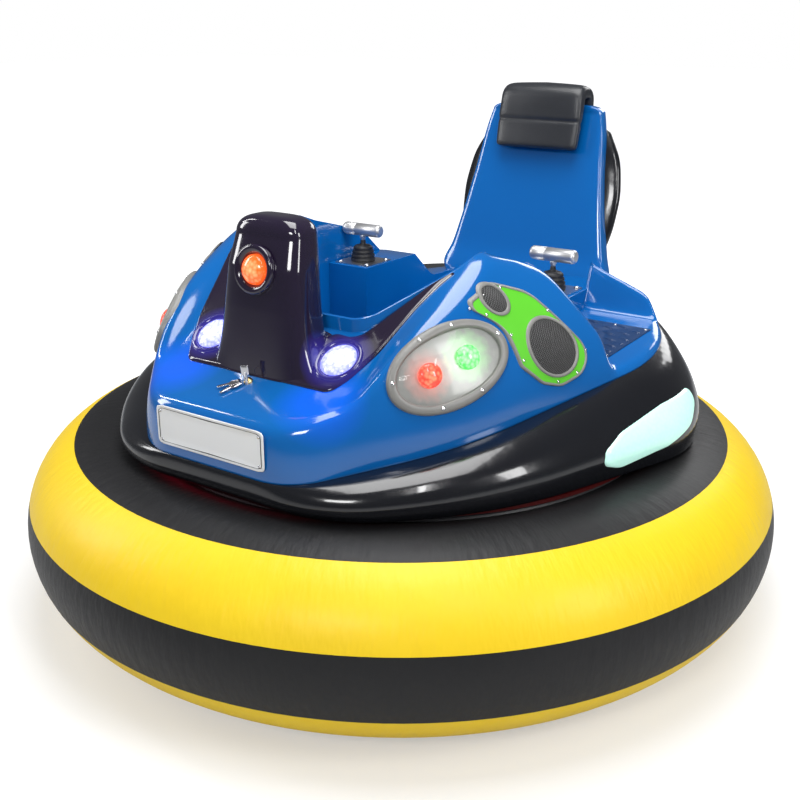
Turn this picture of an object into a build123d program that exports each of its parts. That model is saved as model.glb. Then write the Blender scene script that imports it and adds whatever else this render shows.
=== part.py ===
"""Inflatable fairground bumper car: a round air tube about a moulded two-lever ride.

Millimetres. The origin is on the floor under the middle of the air tube, the nose points to -Y,
+X is the rider's left-hand side of the car and +Z is up.
"""
import os
from functools import cache
from math import cos, degrees, radians, sin, sqrt, tan

from build123d import *

# Driving sizes of the air tube and its cover
tube_centre_radius = 755.0
tube_section_radius = 220.0
tube_centre_height = 250.0
cover_thickness = 4.0
skin_gap = 0.3

# Cover bands: colour group, start and end angle on the section, degrees up from outwards
cover_bands = (
    ("black", 65.8, 178.0),
    ("yellow", 16.7, 65.8),
    ("black", -25.0, 16.7),
    ("yellow", -86.0, -25.0),
    ("black", -178.0, -86.0),
)
band_seam_gap = 0.5

# Chassis
plate_underside = 160.0
plate_thickness = 4.0
rail_width = 40.0
rail_height = 25.0
rail_wall = 3.0
rail_offset = 180.0
channel_wall = 5.0
channel_low_angle = 212.0
channel_high_angle = 116.0
channel_flange_inner = 600.0
channel_outer = tube_section_radius + skin_gap + channel_wall
chassis_rise = tube_centre_height - plate_underside - plate_thickness
chassis_radius = tube_centre_radius - sqrt(channel_outer**2 - chassis_rise**2) - skin_gap
hull_inner_radius = tube_centre_radius - channel_outer

# The outlines of the body, cockpit, seat and hood are drawn for this inner radius of the round
# channel, and they grow and shrink in plan with it.
outline_radius = 529.7
plan_share = hull_inner_radius / outline_radius
reach = 4 * (tube_centre_radius + tube_section_radius)

# Driven wheels
wheel_radius = 100.0
wheel_width = 50.0
wheel_offset = chassis_radius - 156.5
wheel_station = 60.0 * plan_share
hub_radius = 62.0
axle_radius = 10.0
axle_clearance = 0.05
motor_radius = 46.0
motor_length = 190.0
gearbox_length = 60.0

# Casters
caster_wheel_radius = 62.5
caster_wheel_width = 32.0
caster_trail = 40.0
caster_front_station = -430.0 * plan_share
caster_rear_station = 430.0 * plan_share
caster_pin_radius = 6.0
caster_plate_side = 100.0
caster_plate_thickness = 5.0
swivel_radius = 30.0
swivel_height = 14.0
fork_thickness = 4.0

# Battery under the seat
battery_length = 340.0
battery_depth = 260.0
battery_station = chassis_radius - 206.5
battery_height = 215.0

# Moulded body: wall and the levels of the outlines
body_wall = 6.0
skirt_foot_height = 474.0

# Half-outline corners in plan, from the nose to the tail: bow, cheek, beam, quarter, stern.
# Columns: height on the middle line at y = 0, slope to the rear in degrees, share of the corner
# radii, five (x, y) corners.
seam_level = (666.0, 9.7, 1.0, ((212, -713), (452, -425), (682, 195), (400, 520), (240, 760)))
waist_level = (768.0, 8.8, 1.0, ((200, -704), (446, -425), (630, 185), (385, 500), (225, 740)))
crown_level = (962.0, 0.0, 0.7, ((150, -600), (335, -290), (450, 130), (290, 440), (190, 700)))
skirt_levels = (
    (skirt_foot_height, 0.0, 1.0, ((280, -690), (548, -470), (785, 180), (500, 535), (300, 780))),
    (512.0, 1.5, 1.0, ((290, -702), (562, -470), (798, 182), (508, 540), (306, 788))),
    (545.0, 3.0, 1.0, ((286, -710), (558, -466), (790, 184), (502, 540), (302, 786))),
    (598.0, 6.0, 1.0, ((258, -716), (520, -450), (752, 188), (466, 534), (282, 778))),
    seam_level,
)
corner_radii = (75.0, 900.0, 300.0, 420.0, 300.0)

# Side view of the body's top, corner by corner: y, z, rounding radius
top_profile = (
    (-900.0, 560.0, 0.0),
    (-735.0, 560.0, 10.0),
    (-705.0, 664.0, 40.0),
    (-560.0, 765.0, 120.0),
    (-190.0, 962.0, 130.0),
    (40.0, 952.0, 160.0),
    (330.0, 868.0, 100.0),
    (520.0, 702.0, 60.0),
    (900.0, 692.0, 0.0),
)
profile_foot = 100.0
crest_half_width = 350.0
crest_fall = 22.0

# Boarding step, sunk into the left pod: side view of the room above it, y, z, rounding radius
step_profile = (
    (-190.0, 966.0, 0.0),
    (-20.0, 915.0, 120.0),
    (108.0, 782.0, 40.0),
    (128.0, 706.0, 22.0),
    (300.0, 736.0, 18.0),
    (335.0, 838.0, 0.0),
    (350.0, 1100.0, 0.0),
    (-190.0, 1100.0, 0.0),
)
step_inner = 300.0

# The step widens forwards outside this distance from the middle line, along its sloping floor
step_flare_start = 385.0
step_flare = (1.0, -0.62, -0.108)
step_floor_point = (128.0, 706.0)
step_floor_slope = 9.9

# Cockpit opening in plan: x, y and rounding radius of the half-outline from front to rear
cockpit_corners = (
    (200.0, -430.0, 80.0),
    (335.0, -230.0, 150.0),
    (385.0, 120.0, 120.0),
    (372.0, 440.0, 60.0),
    (262.0, 722.0, 60.0),
)
cockpit_foot = 300.0
cockpit_ceiling = 1200.0
tub_wall = 5.0
floor_height = 225.0

# Seat moulding with its two consoles
console_top = 785.0
console_front = 178.0 * plan_share
seat_well_half_width = 243.0
seat_pan_height = 490.0
seat_well_rear = 709.0 * plan_share
hull_clearance = 5.0
well_corner = 30.0

# Seat back: height, y of the front face, half-width, thickness. The first row stands in the
# seat well and the rest flare out over the deck behind the consoles.
seat_stem = ((seat_pan_height + skin_gap, 564.0, 240.0, 60.0), (740.0, 628.0, 240.0, 72.0))
seat_back_sections = (
    (706.0, 604.0, 312.0, 84.0),
    (724.0, 616.0, 288.0, 80.0),
    (756.0, 634.0, 268.0, 74.0),
    (897.0, 672.0, 234.0, 66.0),
    (1020.0, 706.0, 213.0, 62.0),
    (1145.0, 739.0, 195.0, 56.0),
    (1196.0, 755.0, 181.0, 50.0),
    (1214.0, 761.0, 158.0, 44.0),
)
seat_corner_radius = 20.0

# Black side shells behind the back, and the pad over its top: height, front y, half-width,
# thickness
back_cover_sections = (
    (770.0, 664.0, 252.0, 60.0),
    (860.0, 690.0, 262.0, 64.0),
    (960.0, 716.0, 264.0, 66.0),
    (1060.0, 744.0, 246.0, 60.0),
    (1150.0, 770.0, 204.0, 44.0),
)
headrest_sections = (
    (1080.0, 696.0, 132.0, 60.0),
    (1180.0, 712.0, 136.0, 70.0),
    (1240.0, 728.0, 134.0, 104.0),
    (1274.0, 748.0, 120.0, 74.0),
)
pad_corner_radius = 12.0

# Levers
lever_offset = seat_well_half_width + 64.0
lever_station = console_front + 71.0
lever_ball_radius = 9.0
lever_pivot_height = console_top + lever_ball_radius
stem_radius = 5.0
handle_height = lever_pivot_height + 84.0
handle_radius = 18.0
handle_length = 130.0
grip_rounding = 12.0
stick_plate_side = 118.0
stick_plate_thickness = 3.0
stick_hole_radius = 24.0
boot_radius = 27.0
boot_height = 46.0
boot_neck_radius = 9.0
boot_ribs = 4

# Number plate
plate_width = 310.0
plate_height = 90.0
number_plate_thickness = 2.0
plate_face_y = -716.0 * plan_share
plate_pad_margin = 5.0
plate_pad_depth = 24.0
plate_middle_height = skirt_foot_height + 94.0 + plate_height / 2
plate_screw_inset = 12.0
plate_screw_radius = 2.5

# Hood over the cockpit's nose: height, front y, rear y, half-width
hood_sections = (
    (690.0, -634.0, -425.0, 128.0),
    (880.0, -578.0, -432.0, 108.0),
    (1000.0, -532.0, -438.0, 94.0),
    (1046.0, -508.0, -446.0, 76.0),
)
hood_corner_radius = 26.0
hood_wall = 6.0

# Dark arms from the hood along the cockpit's front rim: plan outline of the left one
arm_outline = ((90, -640), (240, -636), (256, -613), (268, -586), (287, -499), (295, -390),
               (314, -258), (292, -236), (180, -380), (90, -400))
arm_thickness = 5.0

# Lamps on the hood and on its arms
hood_lamp_radius = 30.0
hood_lamp_height = 947.0
hood_lamp_depth = 12.0
head_lamp_radius = 35.0
head_lamp_depth = 16.0
head_lamp_place = (183.0, -536.0)
lamp_rounding = 6.0

# Oval lens unit on the left cheek: middle point, long axis and outward normal. Its rim, clear
# cover and lamps are layers over the skin: start and end height of each.
lens_place = (407.0, -405.0, 765.0)
lens_long_axis = (0.431, 0.859, 0.277)
lens_normal = (0.70, -0.51, 0.49)
lens_half_length = 150.0
lens_half_width = 90.0
lens_rim = 22.0
lens_reach = 90.0
lens_rim_layer = (0.3, 12.0)
lens_cover_layer = (7.0, 10.0)
lens_lamp_layer = (0.3, 6.5)
lens_lamp_radius = 26.0
lens_lamp_offset = 44.0

# Speaker panel on the left pod, outlined in side view, and the two grilles in it
panel_outline = ((-322, 872), (-228, 908), (-150, 878), (-64, 744), (-100, 698), (-160, 682),
                 (-208, 697), (-252, 742), (-256, 822), (-290, 852))
panel_rounding = 14.0
panel_layer = (0.3, 4.0)
grille_layer = (4.3, 7.0)
grille_places = (((-244.0, 877.0), 24.0), ((-158.0, 768.0), 52.0))

# Step tread: corners on the step's floor, thickness, raised bars and bolt heads
tread_corners = ((405, 140), (560, 48), (575, 60), (575, 284), (405, 284))
tread_thickness = 3.0
tread_rounding = 10.0
bar_length = 38.0
bar_width = 7.0
bar_height = 2.5
bar_turn = 35.0
bar_pitch = (48.0, 34.0)
bar_start = (438.0, 168.0)
bar_counts = (3, 4)
bolt_radius = 5.0
bolt_places = ((416, 150), (416, 274), (564, 76), (564, 274))

# Key switch on the nose: y of its middle, barrel and key
key_station = -646.0
key_barrel_radius = 10.0
key_barrel_height = 5.0
key_bow_radius = 11.0
key_thickness = 2.0
key_shank = 14.0

# Light rope under the skirt, and the long lamp on each of its sides, outlined in side view
rope_radius = 672.0 * plan_share
rope_width = 8.0
rope_height = 8.0
skirt_lamp_outline = ((-168, 552), (-176, 520), (-128, 503), (22, 518), (112, 550), (170, 598),
                      (158, 624), (36, 614), (-110, 581))
skirt_lamp_rounding = 12.0
skirt_lamp_layer = (0.3, 4.0)


def plan_plane(height, slope):
    """Plane level across the car that climbs to the rear and crosses y = 0 at the height."""
    tilt = radians(slope)
    return Plane(origin=(0, 0, height), x_dir=(1, 0, 0), z_dir=(0, -sin(tilt), cos(tilt)))


def half_outline(corners, radii, stretch=1.0):
    """Face of a closed outline, mirrored across the middle line, with rounded corners."""
    right = [(x * plan_share, y * plan_share * stretch) for x, y in corners]
    left = [(-x, y) for x, y in reversed(right)]
    rounds = [radius * plan_share for radius in radii]
    return make_face(FilletPolyline(*(right + left), radius=rounds + rounds[::-1], close=True))


def level_face(level, inset=0.0):
    """One level of the moulded body as a face on its own tilted plane."""
    height, slope, share, corners = level
    flat = half_outline(corners, [share * r for r in corner_radii], 1.0 / cos(radians(slope)))
    if inset:
        flat = offset(flat, -inset, kind=Kind.ARC)
    return plan_plane(height, slope) * flat


def side_face(rows, growth=0.0):
    """Face of a side-view outline, rows of y, z and radius, grown by a margin, in the YZ plane."""
    points = [(y * plan_share, z) for y, z, _ in rows]
    face = make_face(FilletPolyline(*points, radius=[r for _, _, r in rows], close=True))
    if growth:
        face = offset(face, growth, kind=Kind.ARC)
    return Plane.YZ * face


def roof(inset=0.0):
    """Everything under the body's top: level across the middle, falling away on both sides."""
    foot = [(top_profile[-1][0], profile_foot, 0.0), (top_profile[0][0], profile_foot, 0.0)]
    face = side_face(list(top_profile) + foot, -inset)
    edge = crest_half_width * plan_share
    fall = radians(crest_fall)
    middle = extrude(face, edge, both=True)
    for side in (-1, 1):
        middle += extrude(Pos(side * edge, 0, 0) * face, reach / 4,
                          dir=(side * cos(fall), 0, -sin(fall)))
    return middle


def step_room(growth=0.0):
    """Room above the boarding step, grown by a margin."""
    face = side_face(step_profile, growth)
    straight = extrude(Pos(step_inner * plan_share, 0, 0) * face, reach / 4)
    return straight + extrude(Pos(step_flare_start * plan_share, 0, 0) * face, reach / 4,
                              dir=step_flare)


@cache
def body_form(inset=0.0):
    """Solid inside the blue moulding's outer skin, or a wall's thickness in from it."""
    dome = loft([level_face(seam_level, inset), level_face(waist_level, inset),
                 level_face(crown_level, inset)])
    return (dome & roof(inset)) - step_room(inset)


@cache
def skirt_form(inset=0.0):
    """Solid inside the black skirt's outer skin, or a wall's thickness in from it."""
    return loft([level_face(level, inset) for level in skirt_levels], ruled=True) & roof(inset)


def cockpit_prism(inset, bottom, top):
    """The cockpit's plan outline, shrunk by the inset, drawn up between two heights."""
    corners = [(x, y) for x, y, _ in cockpit_corners]
    radii = [r for _, _, r in cockpit_corners]
    face = half_outline(corners, radii)
    if inset:
        face = offset(face, -inset, kind=Kind.ARC)
    return extrude(Pos(0, 0, bottom) * face, top - bottom)


def block(x_range, y_range, z_range):
    """Box between three pairs of limits."""
    spans = [high - low for low, high in (x_range, y_range, z_range)]
    middles = [(low + high) / 2 for low, high in (x_range, y_range, z_range)]
    return Pos(*middles) * Box(*spans)


def mirrored(solid):
    """The solid and its mirror image on the other side of the car."""
    return [solid, mirror(solid, about=Plane.YZ)]


def write(name, *solids):
    """One file for one node."""
    flat = []
    for item in solids:
        flat.extend(item.solids() if hasattr(item, "solids") else item)
    export_step(flat[0] if len(flat) == 1 else Compound(children=flat), f"parts/{name}.step")


def band(inner, outer, start, end):
    """Ring-shaped shell between two section radii and two section angles."""
    middle = (tube_centre_radius, tube_centre_height)

    def at(radius, angle):
        turn = radians(angle)
        return (middle[0] + radius * cos(turn), middle[1] + radius * sin(turn))

    half = (start + end) / 2
    edges = [
        ThreePointArc(at(outer, start), at(outer, half), at(outer, end)),
        Line(at(outer, end), at(inner, end)),
        ThreePointArc(at(inner, end), at(inner, half), at(inner, start)),
        Line(at(inner, start), at(outer, start)),
    ]
    return revolve(Plane.XZ * make_face(edges), Axis.Z)


def air_tube():
    section = Pos(tube_centre_radius, tube_centre_height) * Circle(
        tube_section_radius - cover_thickness - skin_gap)
    return revolve(Plane.XZ * section, Axis.Z)


def cover(colour):
    trim = degrees(band_seam_gap / tube_section_radius) / 2
    inner = tube_section_radius - cover_thickness
    return [band(inner, tube_section_radius, start + trim, end - trim)
            for group, start, end in cover_bands if group == colour]


def hull_channel():
    """Round moulded channel that the air tube's inner side sits in, with a top flange."""
    inner = tube_section_radius + skin_gap
    outer = inner + channel_wall
    ring = band(inner, outer, channel_high_angle, channel_low_angle)
    riser_radius = tube_centre_radius + outer * cos(radians(channel_high_angle)) - 1
    riser_foot = tube_centre_height + sqrt(inner**2 - (tube_centre_radius - riser_radius)**2) + 1
    riser = Pos(0, 0, riser_foot) * extrude(
        Circle(riser_radius) - Circle(riser_radius - channel_wall), skirt_foot_height - riser_foot)
    flange = Pos(0, 0, skirt_foot_height - channel_wall) * extrude(
        Circle(riser_radius) - Circle(channel_flange_inner), channel_wall)
    return ring + riser + flange


def chassis_plate():
    """Round steel plate with slots for the driven wheels and the four holes of each caster."""
    plate = Pos(0, 0, plate_underside) * extrude(Circle(chassis_radius), plate_thickness)
    slot_length = 2 * sqrt(wheel_radius**2 - (plate_underside - wheel_radius)**2) + 24
    for side in (-1, 1):
        slot = RectangleRounded(wheel_width + 24, slot_length, 10)
        plate -= Pos(side * wheel_offset, wheel_station, plate_underside) * extrude(slot, plate_thickness)
    return plate


def chassis_rails():
    """Welded frame of square tube on top of the plate: two rails and three cross members."""
    def tube(length):
        outer = Rectangle(rail_width, rail_height)
        return extrude(outer - Rectangle(rail_width - 2 * rail_wall, rail_height - 2 * rail_wall), length)

    bottom = plate_underside + plate_thickness
    middle = bottom + rail_height / 2
    rail_length = 860.0
    rails = []
    for side in (-1, 1):
        rail = Plane(origin=(side * rail_offset, -rail_length / 2, middle), x_dir=(1, 0, 0),
                     z_dir=(0, 1, 0)) * tube(rail_length)
        rails.append(rail)
    cross_length = 2 * rail_offset - rail_width
    for station in (-400.0, 0.0, 400.0):
        cross = Plane(origin=(-cross_length / 2, station, middle), x_dir=(0, 1, 0),
                      z_dir=(1, 0, 0)) * tube(cross_length)
        rails.append(cross)
    frame = rails[0]
    for piece in rails[1:]:
        frame += piece
    return frame


def wheel(side):
    """Tyre and hub of one driven wheel, turning about X."""
    x_in = wheel_offset - wheel_width / 2
    plane = Plane(origin=(side * x_in, wheel_station, wheel_radius), x_dir=(0, 1, 0), z_dir=(side, 0, 0))
    tyre_face = Circle(wheel_radius) - Circle(hub_radius)
    tyre = extrude(tyre_face, wheel_width)
    tyre = fillet(tyre.edges().filter_by(GeomType.CIRCLE).sort_by(SortBy.RADIUS)[-2:], 8)
    rim = extrude(Circle(hub_radius) - Circle(hub_radius - 8), wheel_width - 6)
    web = extrude(Circle(hub_radius) - Circle(axle_radius + axle_clearance), 8)
    boss = extrude(Circle(22) - Circle(axle_radius + axle_clearance), wheel_width - 14)
    hub = Pos(0, 0, 3) * (rim + Pos(0, 0, 16) * web + Pos(0, 0, 2) * boss)
    for index in range(5):
        turn = radians(72 * index)
        hub -= Pos(38 * cos(turn), 38 * sin(turn), 0) * extrude(Circle(7), wheel_width)
    return plane * tyre, plane * hub


def gear_motor(side):
    """Motor, gearbox and output shaft of one driven wheel, hung from a bracket."""
    gear_face = wheel_offset - wheel_width / 2 - 12
    plane = Plane(origin=(side * gear_face, wheel_station, wheel_radius), x_dir=(0, 1, 0), z_dir=(-side, 0, 0))
    gearbox = extrude(RectangleRounded(96, 96, 14), gearbox_length)
    motor = Pos(0, 0, gearbox_length) * extrude(Circle(motor_radius), motor_length - gearbox_length)
    shaft = Pos(0, 0, -(wheel_width - 2)) * extrude(Circle(axle_radius), wheel_width - 2)
    body = plane * (gearbox + motor + shaft)
    bracket_height = plate_underside - wheel_radius - 48
    bracket = Pos(side * (gear_face - gearbox_length / 2), wheel_station, plate_underside - bracket_height) * extrude(
        Rectangle(gearbox_length, 130), bracket_height)
    return body + bracket


def caster(station, trail):
    """Mount, fork and wheel of one swivel caster; the wheel trails behind its kingpin."""
    axle_y = station + trail
    top = plate_underside
    mount = Pos(0, station, top - caster_plate_thickness) * extrude(
        RectangleRounded(caster_plate_side, caster_plate_side, 8), caster_plate_thickness)
    mount += Pos(0, station, top - caster_plate_thickness - swivel_height) * extrude(
        Circle(swivel_radius), swivel_height)
    crown_top = top - caster_plate_thickness - swivel_height - skin_gap
    gap = caster_wheel_width / 2 + 4
    crown = Pos(0, station + trail / 2, crown_top - fork_thickness) * extrude(
        RectangleRounded(2 * (gap + fork_thickness), trail + 2 * swivel_radius, 10), fork_thickness)
    fork = crown
    for side in (-1, 1):
        blade_points = [(station - swivel_radius + 12, crown_top - fork_thickness),
                        (axle_y + 24, crown_top - fork_thickness),
                        (axle_y + 15, caster_wheel_radius - 15), (axle_y - 15, caster_wheel_radius - 15)]
        blade = make_face(FilletPolyline(*blade_points, radius=[0, 0, 12, 12], close=True))
        x_start = side * gap if side > 0 else -gap - fork_thickness
        fork += Plane(origin=(x_start, 0, 0), x_dir=(0, 1, 0), z_dir=(1, 0, 0)) * extrude(blade, fork_thickness)
    pin = Plane(origin=(-gap - fork_thickness - 4, axle_y, caster_wheel_radius), x_dir=(0, 1, 0),
                z_dir=(1, 0, 0)) * extrude(Circle(caster_pin_radius), 2 * (gap + fork_thickness + 4))
    fork += pin
    roll_plane = Plane(origin=(-caster_wheel_width / 2, axle_y, caster_wheel_radius), x_dir=(0, 1, 0),
                       z_dir=(1, 0, 0))
    roll = extrude(Circle(caster_wheel_radius) - Circle(caster_pin_radius + axle_clearance), caster_wheel_width)
    roll = fillet(roll.edges().filter_by(GeomType.CIRCLE).sort_by(SortBy.RADIUS)[-2:], 5)
    return mount, fork, roll_plane * roll


def battery():
    bottom = plate_underside + plate_thickness + rail_height
    face = RectangleRounded(battery_length, battery_depth, 12)
    return Pos(0, battery_station, bottom) * extrude(face, battery_height)


def body_shell():
    """Blue moulding with the pad of the number plate on its nose."""
    opening = cockpit_prism(0.0, cockpit_foot, cockpit_ceiling)
    inner = body_form(body_wall)
    pad = Pos(0, plate_face_y + plate_pad_depth / 2, plate_middle_height) * Box(
        plate_width + 2 * plate_pad_margin, plate_pad_depth, plate_height + 2 * plate_pad_margin)
    return (body_form() - inner - opening) + (pad - inner)


def skirt_shell():
    """Black skirt with an inward flange at its foot and a deck behind the seat."""
    opening = cockpit_prism(0.0, cockpit_foot, cockpit_ceiling)
    foot = skirt_foot_height + body_wall
    flange = extrude(Circle(reach), foot)
    shell = skirt_form() - (skirt_form(body_wall) - flange) - opening
    return shell - extrude(Circle(channel_flange_inner * plan_share), foot + body_wall)


def cockpit_tub():
    """Floor and walls of the footwell, with a rim wall carried on above the consoles."""
    outer = cockpit_prism(0.0, floor_height - tub_wall, cockpit_ceiling)
    inner = cockpit_prism(tub_wall, floor_height, cockpit_ceiling + tub_wall)
    rear = (console_front, reach)
    seat_side = block((-reach, reach), rear, (0, console_top + skin_gap))
    return ((outer - inner) & roof()) - step_room() - seat_side


def seat_moulding():
    """Seat pan between two hollow consoles, with the deck round the foot of the back."""
    wall = body_wall
    front = console_front + skin_gap
    side = (-reach, reach)
    above = (console_top, reach)
    foot = (0, skirt_foot_height + wall + skin_gap)
    ring = extrude(Circle(reach) - Circle(hull_inner_radius - hull_clearance), foot[1])
    outer = cockpit_prism(skin_gap, floor_height, cockpit_ceiling) & roof()
    outer -= block(side, (-reach, front), (0, cockpit_ceiling)) + block(side, (front, reach), above)
    outer -= ring
    room = cockpit_prism(skin_gap + wall, floor_height - 1, cockpit_ceiling) & roof(wall)
    room -= block(side, (-reach, front + wall), (0, cockpit_ceiling))
    room -= block(side, (front, reach), (console_top - wall, cockpit_ceiling))
    room -= extrude(Circle(reach) - Circle(hull_inner_radius - hull_clearance - wall), foot[1] + wall)
    for edge in (0.0, wall):
        half = seat_well_half_width + edge
        depth = seat_well_rear + edge - front + 2 * well_corner
        well = Pos(0, front - 2 * well_corner + depth / 2, seat_pan_height - edge) * extrude(
            RectangleRounded(2 * half, depth, well_corner + edge), cockpit_ceiling)
        if edge:
            room -= well
        else:
            outer -= well
    moulding = outer - room
    for x in (-lever_offset, lever_offset):
        moulding -= Pos(x, lever_station, console_top - 2 * wall) * extrude(
            Circle(stick_hole_radius), 3 * wall)
    return moulding


def tapered(sections, corner, growth=0.0):
    """Ruled solid through rounded rectangles: height, y of the front, half-width, thickness."""
    faces = []
    for height, front, half_width, thickness in sections:
        depth = thickness + 2 * growth
        radius = min(corner + growth, depth / 2 - 2)
        faces.append(Pos(0, front * plan_share + thickness / 2, height) * RectangleRounded(
            2 * (half_width * plan_share + growth), depth, radius))
    return loft(faces, ruled=True)


def seat_back():
    """Tall back that narrows and leans to the rear, on a stem that stands in the seat well."""
    upper = tapered(seat_back_sections, seat_corner_radius) - roof(-skin_gap)
    return upper + tapered(seat_stem, seat_corner_radius)


def seat_back_cover():
    """Black shells that stand out past the back's edges from the hips to the shoulders."""
    return tapered(back_cover_sections, pad_corner_radius) - tapered(
        seat_back_sections, seat_corner_radius, skin_gap)


def headrest():
    """Pad over the upper front of the back, carried over its top."""
    pad = tapered(headrest_sections, pad_corner_radius)
    pad -= tapered(seat_back_sections, seat_corner_radius, skin_gap)
    return pad - tapered(back_cover_sections, pad_corner_radius, skin_gap)


def hood_block(growth=0.0):
    """Solid inside the hood's outer skin, or a margin out from it."""
    sections = [(height, front - growth, half, rear - front)
                for height, front, rear, half in hood_sections]
    return tapered(sections, hood_corner_radius, growth)


def hood():
    """Dark hood over the nose of the cockpit, open to the rear."""
    wall = hood_wall
    room = tapered([(height - wall, front + 2 * wall, half - wall, rear - front)
                    for height, front, rear, half in hood_sections], hood_corner_radius - wall)
    return (hood_block() - room) - body_form(-skin_gap)


def over_skin(form, prism, layer):
    """Sheet that follows a form's skin inside a prism, between two heights over the skin."""
    low, high = layer
    return prism & (form(-high) - form(-low))


def hood_arms():
    """Dark sheets on the body from the hood back along the cockpit's rim."""
    left = make_face(Polyline(*[(x * plan_share, y * plan_share) for x, y in arm_outline],
                              close=True))
    prism = Pos(0, 0, cockpit_foot) * extrude(left, cockpit_ceiling - cockpit_foot)
    prism -= cockpit_prism(0.0, cockpit_foot, cockpit_ceiling)
    arm = over_skin(body_form, prism, (skin_gap, skin_gap + arm_thickness))
    return mirrored(arm - hood_block(skin_gap))


def roof_height(station):
    """Height of the body's top line at a station, for its straight runs."""
    for (y0, z0, _), (y1, z1, _) in zip(top_profile, top_profile[1:]):
        if y0 <= station <= y1:
            return z0 + (z1 - z0) * (station - y0) / (y1 - y0)
    raise ValueError("the station is off the body")


def roof_plane(x, station, lift):
    """Plane on the body's top line, square to it and lifted off it."""
    ahead, behind = roof_height(station - 1), roof_height(station + 1)
    slope = Vector(0, 2, behind - ahead).normalized()
    normal = Vector(0, -slope.Z, slope.Y)
    origin = Vector(x * plan_share, station * plan_share, roof_height(station)) + normal * lift
    return Plane(origin=origin, x_dir=(1, 0, 0), z_dir=normal)


def round_lamp(radius, depth):
    """Round lens with a rounded front edge."""
    lamp = extrude(Circle(radius), depth)
    return fillet(lamp.faces().sort_by(Axis.Z)[-1].edges(), lamp_rounding)


def hood_lamp():
    """Round lamp on the hood's front."""
    (low, low_y), (high, high_y) = [(row[0], row[1] * plan_share) for row in hood_sections[1:3]]
    y = low_y + (high_y - low_y) * (hood_lamp_height - low) / (high - low)
    normal = Vector(0, low - high, high_y - low_y).normalized()
    origin = Vector(0, y, hood_lamp_height) + normal * skin_gap
    return Plane(origin=origin, x_dir=(1, 0, 0), z_dir=normal) * round_lamp(
        hood_lamp_radius, hood_lamp_depth)


def head_lamps():
    """Round lamps that stand on the hood's arms."""
    x, station = head_lamp_place
    plane = roof_plane(x, station, arm_thickness + 2 * skin_gap)
    return mirrored(plane * round_lamp(head_lamp_radius, head_lamp_depth))


def lens_plane(offset_along=0.0):
    """Plane in the left lens unit, its x along the long axis, moved along that axis."""
    long_axis = Vector(*lens_long_axis).normalized()
    place = Vector(*lens_place) * plan_share
    place.Z = lens_place[2]
    return Plane(origin=place + long_axis * offset_along, x_dir=long_axis, z_dir=lens_normal)


def lens_parts():
    """Rims, clear covers, and the rear and front lamps of both lens units."""
    def oval(margin):
        face = Ellipse(lens_half_length - margin, lens_half_width - margin)
        return lens_plane() * extrude(face, lens_reach, both=True)

    def disc(along):
        return lens_plane(along) * extrude(Circle(lens_lamp_radius), lens_reach, both=True)

    rim = over_skin(body_form, oval(0.0) - oval(lens_rim), lens_rim_layer)
    cover_sheet = over_skin(body_form, oval(lens_rim + skin_gap), lens_cover_layer)
    rear = over_skin(body_form, disc(lens_lamp_offset), lens_lamp_layer)
    front = over_skin(body_form, disc(-lens_lamp_offset), lens_lamp_layer)
    return [mirrored(part) for part in (rim, cover_sheet, rear, front)]


def side_outline(corners, rounding):
    """Prism across the left half of the car from a side-view outline, all corners rounded."""
    points = [(y * plan_share, z) for y, z in corners]
    face = make_face(FilletPolyline(*points, radius=rounding, close=True))
    return extrude(Plane.YZ * face, reach / 4)


def speaker_parts():
    """Panels on both pods and the two round grilles on each."""
    panel = over_skin(body_form, side_outline(panel_outline, panel_rounding), panel_layer)
    grilles = []
    for (y, z), radius in grille_places:
        disc = extrude(Plane.YZ * (Pos(y * plan_share, z) * Circle(radius)), reach / 4)
        grilles += mirrored(over_skin(body_form, disc, grille_layer))
    return mirrored(panel), grilles


def step_tread():
    """Plate with raised bars and bolt heads on the boarding step."""
    y, z = step_floor_point
    tilt = radians(step_floor_slope)
    normal = Vector(0, -sin(tilt), cos(tilt))
    plane = Plane(origin=Vector(0, y, z) + normal * skin_gap, x_dir=(1, 0, 0), z_dir=normal)

    def on_floor(corner):
        return corner[0] * plan_share, (corner[1] * plan_share - y) / cos(tilt)

    outline = FilletPolyline(*[on_floor(c) for c in tread_corners], radius=tread_rounding, close=True)
    tread = extrude(make_face(outline), tread_thickness)
    for column in range(bar_counts[0]):
        for row in range(bar_counts[1]):
            spot = on_floor((bar_start[0] + column * bar_pitch[0], bar_start[1] + row * bar_pitch[1]))
            turn = bar_turn if (column + row) % 2 else -bar_turn
            tread += Pos(*spot, tread_thickness) * Rot(0, 0, turn) * extrude(
                SlotOverall(bar_length, bar_width), bar_height)
    for place in bolt_places:
        tread += Pos(*on_floor(place), tread_thickness) * extrude(Circle(bolt_radius), bar_height)
    return plane * tread


def key_switch():
    """Lock barrel on the nose with its key in."""
    barrel = extrude(Circle(key_barrel_radius), key_barrel_height)
    shank = Pos(0, 0, key_barrel_height + key_shank / 2) * Box(
        key_thickness, key_bow_radius, key_shank)
    bow = Plane(origin=(-key_thickness / 2, 0, key_barrel_height + key_shank), x_dir=(0, 1, 0),
                z_dir=(1, 0, 0)) * extrude(Circle(key_bow_radius), key_thickness)
    return roof_plane(0.0, key_station, skin_gap) * (barrel + shank + bow)


def light_rope():
    """Ring of light rope under the skirt's foot."""
    ring = extrude(Circle(rope_radius + rope_width / 2) - Circle(rope_radius - rope_width / 2),
                   rope_height)
    return Pos(0, 0, skirt_foot_height - skin_gap - rope_height) * ring


def skirt_lamps():
    """Long lamps on the skirt's flanks."""
    prism = side_outline(skirt_lamp_outline, skirt_lamp_rounding)
    return mirrored(over_skin(skirt_form, prism, skirt_lamp_layer))


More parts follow.
